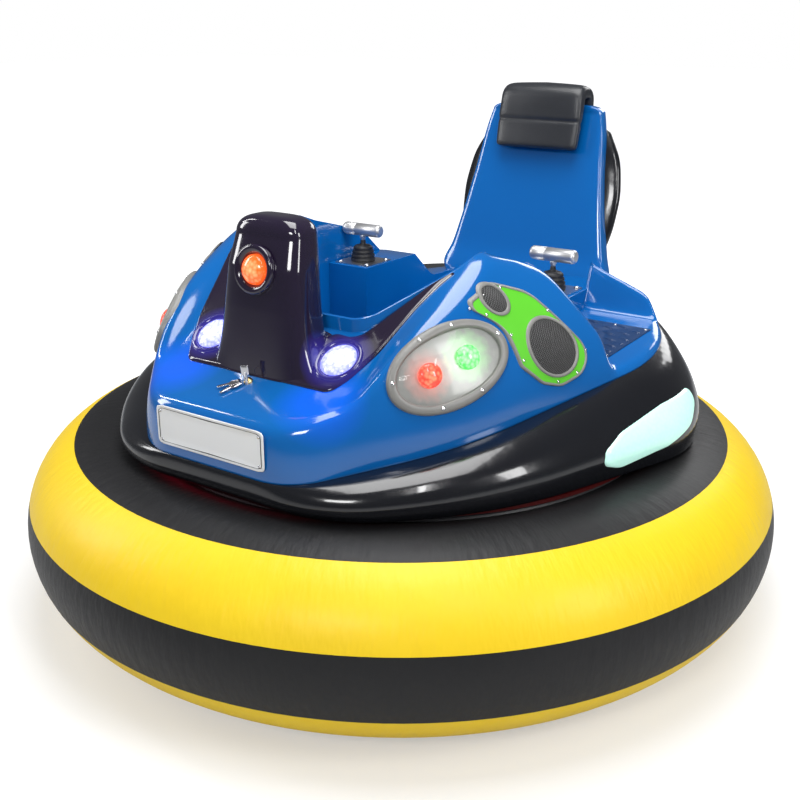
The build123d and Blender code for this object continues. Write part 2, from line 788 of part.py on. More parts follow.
def stick_plate():
    plate = Pos(lever_offset, lever_station, console_top) * extrude(
        RectangleRounded(stick_plate_side, stick_plate_side, 4), stick_plate_thickness)
    plate -= Pos(lever_offset, lever_station, console_top) * extrude(Circle(11), stick_plate_thickness)
    collar = Pos(lever_offset, lever_station, lever_pivot_height) * Sphere(lever_ball_radius + 5)
    collar &= Pos(lever_offset, lever_station, lever_pivot_height - 10) * extrude(Circle(20), 13)
    collar -= Pos(lever_offset, lever_station, lever_pivot_height) * Sphere(lever_ball_radius + 0.05)
    cone = Pos(lever_offset, lever_station, lever_pivot_height) * extrude(Circle(8), 40, taper=-24)
    return plate + (collar - cone)


def lever():
    ball = Pos(lever_offset, lever_station, lever_pivot_height) * Sphere(lever_ball_radius)
    stem = Pos(lever_offset, lever_station, lever_pivot_height) * extrude(
        Circle(stem_radius), handle_height - lever_pivot_height)
    grip_plane = Plane(origin=(lever_offset - handle_length / 2, lever_station, handle_height),
                       x_dir=(0, 1, 0), z_dir=(1, 0, 0))
    grip = extrude(Circle(handle_radius), handle_length)
    grip = fillet(grip.edges().filter_by(GeomType.CIRCLE), grip_rounding)
    return ball + stem + grip_plane * grip


def boot():
    """Ribbed rubber boot, a turned shell round the stem."""
    base = console_top + stick_plate_thickness
    outline = [(boot_radius, 0)]
    pitch = (boot_height - 8) / boot_ribs
    inner_drop = (boot_radius - boot_neck_radius) / (boot_ribs + 1)
    for index in range(boot_ribs):
        radius = boot_radius - inner_drop * index
        outline += [(radius, pitch * (index + 0.55)), (radius - inner_drop - 2, pitch * (index + 0.8))]
    outline += [(boot_neck_radius, boot_height)]
    outline += [(stem_radius + skin_gap, boot_height), (boot_radius - 8, 6), (boot_radius - 6, 0)]
    face = make_face(Polyline(*outline, close=True))
    return Pos(lever_offset, lever_station, base) * revolve(Plane.XZ * face, Axis.Z)


def number_plate():
    plane = Plane(origin=(0, plate_face_y, plate_middle_height), x_dir=(1, 0, 0), z_dir=(0, -1, 0))
    face = RectangleRounded(plate_width, plate_height, 10)
    plate = extrude(face, number_plate_thickness)
    half_x = plate_width / 2 - plate_screw_inset
    half_z = plate_height / 2 - plate_screw_inset
    for x in (-half_x, half_x):
        for z in (-half_z, half_z):
            plate -= Pos(x, z, 0) * extrude(Circle(plate_screw_radius), number_plate_thickness)
    return plane * plate


def main():
    os.makedirs("parts", exist_ok=True)
    write("air_tube", air_tube())
    write("cover_black", *cover("black"))
    write("cover_yellow", *cover("yellow"))
    write("hull_channel", hull_channel())
    write("chassis_plate", chassis_plate())
    write("chassis_rails", chassis_rails())
    write("battery_block", battery())

    write("gear_motors", gear_motor(1), gear_motor(-1))
    for name, side in (("left", 1), ("right", -1)):
        tyre, hub = wheel(side)
        write(f"tyre_{name}", tyre)
        write(f"hub_{name}", hub)
    mounts = []
    for name, station in (("front", caster_front_station), ("rear", caster_rear_station)):
        mount, fork, roll = caster(station, caster_trail)
        mounts.append(mount)
        write(f"fork_{name}", fork)
        write(f"caster_wheel_{name}", roll)
    write("caster_mounts", *mounts)

    write("body_shell", body_shell())
    write("skirt_shell", skirt_shell())
    write("cockpit_tub", cockpit_tub())
    write("seat_moulding", seat_moulding())
    write("seat_back", seat_back())
    write("seat_back_cover", seat_back_cover())
    write("headrest", headrest())
    write("hood", hood())
    write("hood_arms", *hood_arms())
    write("hood_lamp", hood_lamp())
    write("head_lamps", *head_lamps())
    rims, covers, rear_lamps, front_lamps = lens_parts()
    write("lens_bezels", *rims)
    write("lens_covers", *covers)
    write("green_lamps", *rear_lamps)
    write("red_lamps", *front_lamps)
    panels, grilles = speaker_parts()
    write("speaker_panels", *panels)
    write("speaker_grilles", *grilles)
    write("step_tread", step_tread())
    write("key_switch", key_switch())
    write("glow_strip", light_rope())
    write("skirt_lamps", *skirt_lamps())
    write("stick_plates", *mirrored(stick_plate()))
    for name, solid in zip(("left", "right"), mirrored(boot())):
        write(f"boot_{name}", solid)
    for name, solid in zip(("left", "right"), mirrored(lever())):
        write(f"lever_{name}", solid)
    write("number_plate", number_plate())


main()
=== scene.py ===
"""Looks of a round inflatable bumper car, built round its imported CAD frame.

Metres. The nose points to -Y, +X is the rider's left-hand side and +Z is up.
"""
from functools import partialmethod

import bmesh
import bpy
import numpy as np
from mathutils import Matrix, Vector


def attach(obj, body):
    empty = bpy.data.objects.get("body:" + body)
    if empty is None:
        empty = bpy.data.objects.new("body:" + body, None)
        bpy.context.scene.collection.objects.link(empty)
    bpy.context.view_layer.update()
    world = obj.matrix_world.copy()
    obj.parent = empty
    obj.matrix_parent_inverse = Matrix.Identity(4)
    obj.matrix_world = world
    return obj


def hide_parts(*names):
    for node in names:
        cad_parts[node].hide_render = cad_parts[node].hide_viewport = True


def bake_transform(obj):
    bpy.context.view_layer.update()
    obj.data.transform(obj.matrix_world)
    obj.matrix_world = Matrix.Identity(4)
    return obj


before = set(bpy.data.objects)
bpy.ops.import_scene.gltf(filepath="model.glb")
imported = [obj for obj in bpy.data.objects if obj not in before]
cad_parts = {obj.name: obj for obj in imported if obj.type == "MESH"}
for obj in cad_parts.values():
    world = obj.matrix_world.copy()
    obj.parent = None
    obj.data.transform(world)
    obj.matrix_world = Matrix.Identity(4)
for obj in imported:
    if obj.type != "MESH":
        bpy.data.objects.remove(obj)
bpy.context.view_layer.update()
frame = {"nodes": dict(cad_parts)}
nodes = frame["nodes"]
TAU = 2 * np.pi


def placed(name, data, spot=None, ahead=None):
    """New object in the scene; with a spot it stands there and looks ahead."""
    made = bpy.data.objects.new(name, data)
    bpy.context.collection.objects.link(made)
    if spot:
        made.location, made.rotation_mode = spot, "QUATERNION"
        made.rotation_quaternion = Vector(ahead).to_track_quat("-Z", "Y")
    return made


# Camera of the photograph
camera_data = bpy.data.cameras.new("camera")
camera_data.lens, camera_data.sensor_width = 48.96, 36.0
bpy.context.scene.camera = placed("camera", camera_data, (1.5669, -2.2545, 1.4592),
                                  (-0.5388, 0.7738, -0.3328))
bpy.context.scene.view_settings.view_transform = "Standard"

# Levels of the moulded body: height at y = 0, slope to the rear in degrees, corners of the
# half-outline from the nose to the tail, share of the corner radii
SEAM = (0.666, 9.7, (
    (0.212, -0.713), (0.452, -0.425), (0.682, 0.195), (0.4, 0.52), (0.24, 0.76)), 1.0)
WAIST = (0.768, 8.8, (
    (0.2, -0.704), (0.446, -0.425), (0.63, 0.185), (0.385, 0.5), (0.225, 0.74)), 1.0)
CROWN = (0.962, 0.0, (
    (0.15, -0.6), (0.335, -0.29), (0.45, 0.13), (0.29, 0.44), (0.19, 0.7)), 0.7)
SKIRT = (
    (0.474, 0.0, (
        (0.28, -0.69), (0.548, -0.47), (0.785, 0.18), (0.5, 0.535), (0.3, 0.78)), 1.0),
    (0.512, 1.5, (
        (0.29, -0.702), (0.562, -0.47), (0.798, 0.182), (0.508, 0.54), (0.306, 0.788)), 1.0),
    (0.545, 3.0, (
        (0.286, -0.71), (0.558, -0.466), (0.79, 0.184), (0.502, 0.54), (0.302, 0.786)), 1.0),
    (0.598, 6.0, (
        (0.258, -0.716), (0.52, -0.45), (0.752, 0.188), (0.466, 0.534), (0.282, 0.778)), 1.0),
    SEAM,
)
CORNER_RADII = (0.17, 0.9, 0.3, 0.42, 0.3)
SKIRT_NOSE_RADII = (0.34, 0.34, 0.34, 0.27, 0.17)
WAIST_SHARE = 0.345

# Side view of the body's top and of the room over the boarding step: y, z, rounding radius
CREST = (
    (-0.9, 0.56, 0.0), (-0.735, 0.56, 0.01), (-0.705, 0.664, 0.04), (-0.56, 0.765, 0.12),
    (-0.19, 0.962, 0.13), (0.04, 0.952, 0.16), (0.33, 0.868, 0.1), (0.52, 0.702, 0.06),
    (0.9, 0.692, 0.0))
STEP = (
    (-0.19, 0.966, 0.0), (-0.02, 0.915, 0.12), (0.108, 0.782, 0.04), (0.128, 0.706, 0.022),
    (0.3, 0.736, 0.018), (0.335, 0.838, 0.0), (0.35, 1.1, 0.0))
NOSE = (
    (-0.9, 0.6, 0.0), (-0.712, 0.66, 0.06), (-0.556, 0.712, 0.2), (-0.27, 0.923, 0.0),
    (-0.2, 1.0, 0.0))
NOSE_NORMAL = (0, -0.594, 0.805)
NOSE_HALF, NOSE_FADE = 0.26, 0.09
CREST_HALF, CREST_FALL = 0.35, float(np.tan(np.radians(22.0)))
NOSE_BACK, STEP_INNER = -0.2, 0.25
FLARE_START, FLARE_Y, FLARE_Z = 0.385, -0.62, -0.108
COCKPIT = ((0.2, -0.43), (0.335, -0.23), (0.385, 0.12), (0.372, 0.44), (0.262, 0.722))
COCKPIT_RADII = (0.08, 0.15, 0.12, 0.06, 0.06)
# Rear deck: y where it starts to level out, and the run of that; direction where the blue
# moulding ends, and radius of its rim's rolled lip; y where blue dips under black, and how
# steeply; and the air tube's middle circle
LEVEL_START, LEVEL_RUN = 0.36, 0.14
BLUE_END, LIP_RADIUS = np.radians(52), 0.005
DECK_LINE, DECK_SINK = 0.46, 0.6
TUBE_RADIUS, TUBE_HEIGHT = 0.755, 0.25
# Height over a skin where pieces that are laid on it start, and points round a flat part
DROP, FLAT_COUNT = 0.15, 160

# Left nose lamp, lamps in the left lens unit, and no light
NOSE_LAMP = (0.183, -0.5, 0.764)
RED_LAMP, GREEN_LAMP = (0.385, -0.452, 0.752), (0.426, -0.366, 0.78)
DARK = (0.0, 0.0, 0.0)


class Wire:
    """A node's output that takes part in Python sums; each operator adds its Math node."""

    def __init__(self, nodes, socket):
        self.nodes, self.socket = nodes, socket

    def of(self, kind, *others):
        """This value, and then the others, through a Math operation."""
        return self.nodes.math(kind, self, *others)

    __add__ = __radd__ = partialmethod(of, "ADD")
    __mul__ = __rmul__ = partialmethod(of, "MULTIPLY")
    __sub__ = partialmethod(of, "SUBTRACT")
    __truediv__ = partialmethod(of, "DIVIDE")
    __gt__ = partialmethod(of, "GREATER_THAN")

    def __rsub__(self, other):
        return self.nodes.math("SUBTRACT", other, self)

    def __rtruediv__(self, other):
        return self.nodes.math("DIVIDE", other, self)


class Nodes:
    """A node tree: one method adds any node, another sets or links a socket."""

    def __init__(self, owner):
        owner.use_nodes = True
        self.tree = owner.node_tree
        self.tree.nodes.clear()

    def add(self, kind, settings=None, inputs=None, output=0):
        """Adds a node, its settings first and then its sockets' values or links."""
        node = self.tree.nodes.new("ShaderNode" + kind)
        for key, value in (settings or {}).items():
            if key == "stops":
                elements = node.color_ramp.elements
                for index, (place, colour) in enumerate(value):
                    element = elements[index] if index < 2 else elements.new(place)
                    element.position, element.color = place, (*colour, 1.0)
            else:
                setattr(node, key, value)
        for key, value in (inputs or {}).items():
            self.feed(node.inputs[key], value)
        return Wire(self, node.outputs[output]) if node.outputs else None

    def feed(self, socket, value):
        """Links a wire to a socket, or sets the socket's value."""
        if isinstance(value, Wire):
            self.tree.links.new(value.socket, socket)
        elif socket.type == "RGBA":
            socket.default_value = (*value, 1.0)
        else:
            socket.default_value = value

    def math(self, kind, *values):
        """Math node of the given operation."""
        return self.add("Math", {"operation": kind}, dict(enumerate(values)))

    def outputs(self, kind, names, inputs=None):
        """The named outputs of one new node."""
        node = self.add(kind, inputs=inputs).socket.node
        return [Wire(self, node.outputs[name]) for name in names]


class Finish(Nodes):
    """A material made of nodes that feed its surface shader."""

    def __init__(self, name, **surface):
        self.material = bpy.data.materials.new(name)
        super().__init__(self.material)
        lit = self.add("BsdfPrincipled")
        self.shader = lit.socket.node
        self.add("OutputMaterial", inputs={"Surface": lit})
        self.surface(**surface)

    def surface(self, **sockets):
        """Feeds sockets of the surface shader, named in lower case."""
        for key, value in sockets.items():
            name = key.replace("_", " ").title().replace("Ior", "IOR")
            self.feed(self.shader.inputs[name], value)

    def place(self):
        """Object coordinates as a vector."""
        return self.add("TexCoord", output="Object")

    def axes(self):
        """Object coordinates as three numbers."""
        return self.outputs("SeparateXYZ", "XYZ", {0: self.place()})

    def noise(self, scale, detail=3.0, at=None):
        """Noise from 0 to 1 on object coordinates, or at another vector."""
        return self.add("TexNoise", inputs={"Vector": at or self.place(), "Scale": scale,
                                            "Detail": detail})

    def blend(self, factor, low, high):
        """Colour between two colours."""
        return self.add("Mix", {"data_type": "RGBA"}, {0: factor, 6: low, 7: high}, 2)

    def relief(self, height, depth, strength=1.0):
        """Bump from a height of 0 to 1 that stands for a depth in metres."""
        self.surface(normal=self.add("Bump", inputs={
            "Strength": strength, "Distance": depth, "Height": height}))


def around(count):
    """Angles once round, without the last, which is the first again."""
    return np.linspace(0, TAU, count, endpoint=False)


def smooth(value):
    """Soft step from 0 to 1: three squares less two cubes."""
    value = np.clip(value, 0, 1)
    return value * value * (3 - 2 * value)


def rounded(corners, radii, closed=True, steps=14):
    """Line through corners, each cut by an arc: the arc starts a tangent length r tan(turn / 2)
    before the corner and turns about the centre that lies r to its inner side."""
    spots, radii = np.array(corners, float), np.array(radii, float)
    ahead = np.roll(spots, -1, 0) - spots
    if not closed:
        ahead[-1] = ahead[-2]
    ahead /= np.linalg.norm(ahead, axis=1)[:, None]
    behind = np.roll(ahead, 1, 0)
    if not closed:
        behind[0] = ahead[0]
    turn = np.arctan2(behind[:, 0] * ahead[:, 1] - behind[:, 1] * ahead[:, 0],
                      (behind * ahead).sum(1))
    start = spots - behind * (radii * np.tan(np.abs(turn) / 2))[:, None]
    inward = np.stack([-behind[:, 1], behind[:, 0]], 1) * (np.sign(turn) * radii)[:, None]
    angle = turn[:, None] * np.linspace(0, 1, steps)
    cos, sin = np.cos(angle)[..., None], np.sin(angle)[..., None]
    arm = -inward[:, None, :]
    swung = arm * cos + np.stack([-arm[..., 1], arm[..., 0]], -1) * sin
    return (start[:, None, :] + inward[:, None, :] + swung).reshape(-1, 2)


def spread(line, count, closed=False):
    """The line's points again, evenly spaced by length."""
    if closed:
        line = np.concatenate([line, line[:1]])
    run = np.concatenate([[0], np.cumsum(np.linalg.norm(np.diff(line, axis=0), axis=1))])
    at = np.linspace(0, run[-1], count, endpoint=not closed)
    return np.stack([np.interp(at, run, line[:, axis]) for axis in range(line.shape[1])], 1)


def radius_at(theta, half, radii):
    """Distance from the upright middle axis to a mirrored, rounded outline, by direction."""
    half = np.array(half)
    line = rounded(np.concatenate([half, half[::-1] * (-1, 1)]), (*radii, *radii[::-1]))
    line = spread(line, 4000, closed=True)
    return np.interp(theta, np.arctan2(line[:, 1], line[:, 0]), np.hypot(*line.T), period=TAU)


def level_at(level, theta, nose=CORNER_RADII[0]):
    """Radius and height of one body level by direction; the height climbs with y."""
    height, slope, half, share = level
    radius = radius_at(theta, half, share * np.array((nose, *CORNER_RADII[1:])))
    return radius, height + radius * np.sin(theta) * np.tan(np.radians(slope))


def profile_at(rows, y):
    """Height of a rounded side-view line at y."""
    rows = np.array(rows)
    line = rounded(rows[:, :2], rows[:, 2], closed=False)
    return np.interp(y, line[:, 0], line[:, 1])


def top_at(x, y):
    """Height of the body's top: the crest line, falling away outside its middle down to where
    the level rear deck starts, sunk to the nose line between the cheeks, and over the left side
    no higher than the boarding step's floor and walls, which flare forwards."""
    crest = profile_at(CREST, y)
    cheek = smooth((np.abs(x) - NOSE_HALF) / NOSE_FADE)
    sink = crest - profile_at(NOSE, np.minimum(y, NOSE_BACK - 0.005))
    sink = np.maximum(0, sink) * (y < NOSE_BACK)
    fall = CREST_FALL * (1 - smooth((y - LEVEL_START) / LEVEL_RUN))
    top = crest - sink * (1 - cheek) - fall * np.maximum(0, np.abs(x) - CREST_HALF)
    out = np.maximum(0, x - FLARE_START)
    step = np.minimum(profile_at(STEP, y), profile_at(STEP, y - FLARE_Y * out) + FLARE_Z * out)
    return np.where(x > STEP_INNER, np.minimum(top, step), top)


def even_rows(grid, count):
    """Each row of a grid of points again, evenly spaced along its own length."""
    step = np.linalg.norm(np.diff(grid, axis=1), axis=2)
    run = np.concatenate([np.zeros((len(grid), 1)), np.cumsum(step, 1)], 1)
    at = run[:, -1:] * np.linspace(0, 1, count)
    index = (run[:, None, :] <= at[:, :, None]).sum(2).clip(1, run.shape[1] - 1)
    low, high = np.take_along_axis(run, index - 1, 1), np.take_along_axis(run, index, 1)
    share = ((at - low) / np.maximum(high - low, 1e-9)).clip(0, 1)[..., None]
    rows = np.arange(len(grid))[:, None]
    return grid[rows, index - 1] * (1 - share) + grid[rows, index] * share


def eased(grid, width, axis, closed=False, passes=3):
    """Moving average along one axis of a grid; open ends stay where they are."""
    kernel = np.ones(2 * width + 1) / (2 * width + 1)
    grid = np.moveaxis(grid, axis, 0)
    for _ in range(passes):
        if closed:
            padded = np.concatenate([grid[-width:], grid, grid[:width]])
        else:
            padded = np.concatenate([2 * grid[:1] - grid[width:0:-1], grid,
                                     2 * grid[-1:] - grid[-2:-width - 2:-1]])
        total = np.cumsum(np.concatenate([np.zeros_like(padded[:1]), padded]), 0)
        grid = (total[len(kernel):] - total[:-len(kernel)]) / len(kernel)
    return np.moveaxis(grid, 0, axis)


def sheet(points, close_rows=False, close_columns=False, flip=False):
    """Points and quads of a grid; a closed direction joins its end to its start."""
    rows, columns = points.shape[:2]
    r, c = np.indices((rows - (not close_rows), columns - (not close_columns)))
    r1, c1 = (r + 1) % rows, (c + 1) % columns
    quads = np.stack([r * columns + c, r1 * columns + c, r1 * columns + c1, r * columns + c1], -1)
    quads = quads.reshape(-1, 4)
    return points.reshape(-1, 3), quads[:, ::-1] if flip else quads


def adopt(made, finish, slot, stands_for, body):
    """Gives a new mesh its finish, the nodes that it replaces and the body that it rides, or none
    where two bodies share it. The slot is not used."""
    made.data.materials.clear()
    made.data.materials.append(finish.material)
    made.data.polygons.foreach_set("use_smooth", np.full(len(made.data.polygons), True))
    if body:
        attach(made, body)
    if stands_for:
        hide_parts(*stands_for)


def piece(name, parts, finish, slot, *stands_for, body="chassis"):
    """One mesh of (points, faces) parts."""
    offsets = np.cumsum([0] + [len(points) for points, _ in parts])
    points = np.concatenate([points for points, _ in parts])
    quads = np.concatenate([faces + offset for (_, faces), offset in zip(parts, offsets)])
    mesh = bpy.data.meshes.new(name)
    mesh.vertices.add(len(points))
    mesh.vertices.foreach_set("co", points.astype(np.float32).ravel())
    mesh.loops.add(quads.size)
    mesh.loops.foreach_set("vertex_index", quads.astype(np.int32).ravel())
    mesh.polygons.add(len(quads))
    mesh.polygons.foreach_set("loop_start", np.arange(0, quads.size, 4, np.int32))
    mesh.update(calc_edges=True)
    mesh.validate()
    made = placed(name, mesh)
    adopt(made, finish, slot, stands_for, body)
    return made


def worn(colour, share):
    """A share of a colour."""
    return tuple(part * share for part in colour)


def gloss(name, colour, shade, rough=0.16, coat=0.6, ripple=0.0006):
    """Glossy moulded plastic: faint colour drift, slight unevenness and fine wear."""
    finish = Finish(name, coat_weight=coat, coat_roughness=0.05)
    finish.surface(base_color=finish.blend(finish.noise(3.0), shade, colour),
                   roughness=finish.noise(240.0, 2.0) * 0.08 + (rough - 0.04))
    finish.relief(finish.noise(26.0, 2.0) + finish.noise(9.0, 1.0) * 2.0, ripple, 0.5)
    return finish


def steel(name, colour, rough, metallic=1.0):
    """Metal with a fine uneven surface."""
    finish = Finish(name, metallic=metallic)
    spots = finish.noise(500.0)
    finish.surface(base_color=finish.blend(finish.noise(14.0), worn(colour, 0.8), colour),
                   roughness=spots * 0.15 + (rough - 0.07))
    finish.relief(spots, 0.0002)
    return finish


def rubber(name, colour, rough=0.5, grain=300.0, depth=0.0004):
    """Matt rubber or plastic with a pebbled grain."""
    finish = Finish(name, roughness=rough)
    finish.surface(base_color=finish.blend(finish.noise(20.0), worn(colour, 0.7), colour))
    finish.relief(finish.noise(grain, 4.0), depth)
    return finish


def coated_fabric(name, colour, shade, rough):
    """Coated tube cloth: a fine weave on the ring's angle and section angle, and soft puckers."""
    finish = Finish(name, specular_ior_level=0.35, coat_weight=0.06, coat_roughness=0.25)
    x, y, z = finish.axes()
    turn = y.of("ARCTAN2", x)
    section = (z - TUBE_HEIGHT).of("ARCTAN2", (x * x + y * y).of("SQRT") - TUBE_RADIUS)
    weave = (turn * 1800.0).of("SINE") * (section * 500.0).of("SINE")
    pucker = finish.add("CombineXYZ", inputs={0: turn * 40.0, 1: section * 3.0})
    finish.surface(base_color=finish.blend(finish.noise(6.0, 4.0), shade, colour),
                   roughness=finish.noise(90.0) * 0.12 + (rough - 0.06))
    finish.relief(weave * 0.02 + finish.noise(1.0, 2.0, pucker), 0.004, 0.6)
    return finish


def distance(finish, middle, radius):
    """Distance from a point on the left side or its mirror image, as a share of a radius."""
    x, y, z = finish.axes()
    x, y, z = x.of("ABSOLUTE") - middle[0], y - middle[1], z - middle[2]
    return (x * x + y * y + z * z).of("SQRT") / radius


def lamp_glass(name, rim, core, strength, middle=None, radius=1.0):
    """Lit lens: small cells, bright in the middle and deeper in colour towards the rim."""
    finish = Finish(name, roughness=0.15, coat_weight=0.5, base_color=rim,
                    emission_strength=strength)
    cells = finish.add("TexVoronoi", inputs={"Vector": finish.place(), "Scale": 120.0})
    depth = cells * 0.5 + (distance(finish, middle, radius) * 0.75 if middle else 0.15)
    stops = {"stops": ((0.25, core), (0.85, rim))}
    finish.surface(emission_color=finish.add("ValToRGB", stops, {0: depth}))
    return finish


def glow(finish, middle, radius, colour, beyond=DARK, grain=None):
    """Colour of light spilt round a lamp, fading over a radius into another colour."""
    reach = distance(finish, middle, radius)
    if grain:
        reach = reach + finish.noise(grain) * 0.5 - 0.25
    return finish.blend(reach.of("MINIMUM", 1.0), colour, beyond)


blue = gloss("gloss_blue", (0.002, 0.128, 0.43), (0.001, 0.108, 0.38), 0.12)
black = gloss("gloss_black", (0.008, 0.009, 0.012), (0.005, 0.005, 0.007), 0.18, 0.5, 0.001)
plum = gloss("gloss_plum", (0.02, 0.012, 0.034), (0.01, 0.007, 0.018), 0.12, 0.7)
# Painted light: the nose lamps' blue light is painted as a glow on the hood round them
plum.surface(emission_color=glow(plum, NOSE_LAMP, 0.085, (0.05, 0.04, 0.6)),
             emission_strength=1.0)
# Painted light: a pool of the nose lamps' blue light is painted on the blue body by the hood's
# foot
blue.surface(emission_color=glow(blue, (0.205, -0.59, 0.702), 0.115, (0.01, 0.0, 0.75)),
             emission_strength=1.0)
satin_dark = rubber("satin_dark", (0.035, 0.037, 0.042), 0.45)
satin_grey = rubber("satin_grey", (0.27, 0.265, 0.25), 0.35)
seam_black = rubber("seam_black", (0.012, 0.012, 0.014))
tube_cloth = coated_fabric("tube_cloth", (0.03, 0.03, 0.033), (0.02, 0.02, 0.022), 0.6)
cloth_black = coated_fabric("cloth_black", (0.01, 0.01, 0.011), (0.006, 0.006, 0.007), 0.5)
cloth_yellow = coated_fabric("cloth_yellow", (0.93, 0.66, 0.012), (0.84, 0.55, 0.008), 0.45)
bare_steel = steel("bare_steel", (0.62, 0.62, 0.63), 0.32)
chrome = steel("chrome", (0.82, 0.82, 0.84), 0.14)
satin_silver = steel("satin_silver", (0.8, 0.8, 0.81), 0.38, 0.85)
cast_metal = steel("cast_metal", (0.5, 0.51, 0.52), 0.45)
painted = steel("painted_steel", (0.055, 0.056, 0.06), 0.5, 0.2)
tyre_rubber = rubber("tyre_rubber", (0.025, 0.025, 0.026), 0.75, 180.0, 0.0008)
boot_rubber = rubber("boot_rubber", (0.016, 0.016, 0.018))
case_grey = rubber("case_grey", (0.13, 0.13, 0.14))
leather = rubber("leather", (0.03, 0.032, 0.037), 0.3, 420.0)
plate_white = gloss("plate_white", (0.85, 0.86, 0.86), (0.8, 0.81, 0.81), 0.3, 0.2, 0.0001)
panel_green = gloss("panel_green", (0.13, 0.62, 0.03), (0.1, 0.54, 0.02), 0.35, 0.2, 0.0001)
tread_blue = gloss("tread_blue", (0.004, 0.035, 0.12), (0.003, 0.025, 0.09), 0.3, 0.3)
brass = steel("brass", (0.75, 0.6, 0.28), 0.25)
amber_glass = lamp_glass("amber_glass", (0.95, 0.1, 0.015), (1.0, 0.62, 0.3), 1.1,
                         (0.0, -0.556, 0.947), 0.036)
white_glass = lamp_glass("white_glass", (0.22, 0.24, 1.0), (1.0, 1.0, 1.0), 1.3, NOSE_LAMP, 0.06)
red_glass = lamp_glass("red_glass", (0.95, 0.03, 0.01), (1.0, 0.6, 0.3), 1.2, RED_LAMP, 0.034)
green_glass = lamp_glass("green_glass", (0.05, 0.75, 0.08), (0.9, 1.0, 0.85), 1.3, GREEN_LAMP,
                         0.04)
mint_glass = lamp_glass("mint_glass", (0.5, 0.9, 0.76), (0.7, 1.0, 0.9), 0.35)
red_rope = rubber("red_rope", (0.05, 0.006, 0.006), 0.3)
rope_x, rope_y, _ = red_rope.axes()
# The strip is bright only along the front and dimmed towards the sides and behind: painted shade
# of the overhanging skirt
painted_skirt_shade = ((rope_x + 0.2).of("ABSOLUTE") / 0.45).of("MINIMUM", 1.0).of("MAXIMUM", rope_y > 0.0)
red_rope.surface(emission_color=red_rope.blend(painted_skirt_shade, (0.9, 0.01, 0.06), (0.02, 0.0, 0.0)),
                 emission_strength=0.7)
lens_silver = Finish("lens_silver", roughness=0.3, metallic=0.3, coat_weight=0.4,
                     emission_strength=1.0)
# Painted light: the LEDs' red and green light is painted as glows on the lens dish round them
painted_green_spill = glow(lens_silver, GREEN_LAMP, 0.062, (0.05, 0.75, 0.02), DARK, 70.0)
lens_silver.surface(
    base_color=lens_silver.blend(lens_silver.noise(60.0), (0.3, 0.31, 0.29), (0.42, 0.42, 0.4)),
    emission_color=glow(lens_silver, RED_LAMP, 0.058, (0.75, 0.1, 0.04), painted_green_spill, 70.0))
grille_black = Finish("grille_black", roughness=0.4)
_, grille_y, grille_z = grille_black.axes()
# The holes are painted darker than the mesh, painted shade inside the perforations; the same
# pattern sets the bump
mesh_holes = (grille_y * 1100.0).of("SINE") * (grille_z * 1100.0).of("SINE")
grille_black.surface(
    base_color=grille_black.blend(mesh_holes > 0.0, (0.09, 0.09, 0.09), (0.008, 0.008, 0.008)))
grille_black.relief(mesh_holes, 0.0008)
clear = Finish("clear_cover", roughness=0.06, coat_weight=0.6, base_color=(0.3, 0.31, 0.3))
clear.surface(alpha=clear.noise(30.0) * 0.06 + 0.13)

# Finishes of the CAD nodes that stay as they are
for finish, kept in (
        (tube_cloth, "air_tube"), (cloth_black, "cover_black"), (cloth_yellow, "cover_yellow"),
        (satin_dark, "hull_channel"), (painted, "chassis_plate chassis_rails"),
        (case_grey, "battery_block"), (cast_metal, "gear_motors"), (red_rope, "glow_strip"),
        (bare_steel, "hub_left hub_right caster_mounts fork_front fork_rear stick_plates"),
        (tyre_rubber, "tyre_left tyre_right caster_wheel_front caster_wheel_rear")):
    for name in kept.split():
        for held in nodes[name].material_slots:
            held.material = finish.material


def flank_at(theta, t):
    """Radius and height on the blue flank at share t of its rise, on the parabola through seam,
    waist and crown: each level times the product of (t - other) / (its share - other)."""
    radius, height = np.zeros(np.broadcast(theta, t).shape), 0.0
    shares = np.array((0.0, WAIST_SHARE, 1.0))
    for level, at in zip((SEAM, WAIST, CROWN), shares):
        weight = 1.0
        for other in shares[shares != at]:
            weight = weight * (t - other) / (at - other)
        wide, high = level_at(level, theta)
        radius, height = radius + weight * wide, height + weight * high
    return radius, height


def body_rows():
    """Directions round the body, closer together where the boarding step is."""
    even = np.linspace(0, TAU, 4001)
    weight = 1 + 3 * np.exp(-((even - 0.42) / 0.4) ** 2)
    run = np.concatenate([[0], np.cumsum((weight[1:] + weight[:-1]) / 2)])
    return np.interp(np.linspace(0, run[-1], 720, endpoint=False), run, even)


def space(theta, radius, height):
    """Points of a surface from direction, radius and height."""
    return np.stack([radius * np.cos(theta), radius * np.sin(theta), height + 0 * radius], -1)


def crossing(over):
    """Where each row of heights over the top first turns positive, in steps between columns."""
    last = np.argmax(over > 0, 1).clip(1, None)[:, None]
    before, after = np.take_along_axis(over, last - 1, 1), np.take_along_axis(over, last, 1)
    return np.where((over > 0).any(1)[:, None], last - 1 - (before / (after - before)).clip(-1, 0),
                    over.shape[1] - 1.0)


def under_deck(x, y):
    """Height of the body's top, dipping under the black deck behind the deck line."""
    return top_at(x, y) - DECK_SINK * np.maximum(0, y - DECK_LINE - 0.004)


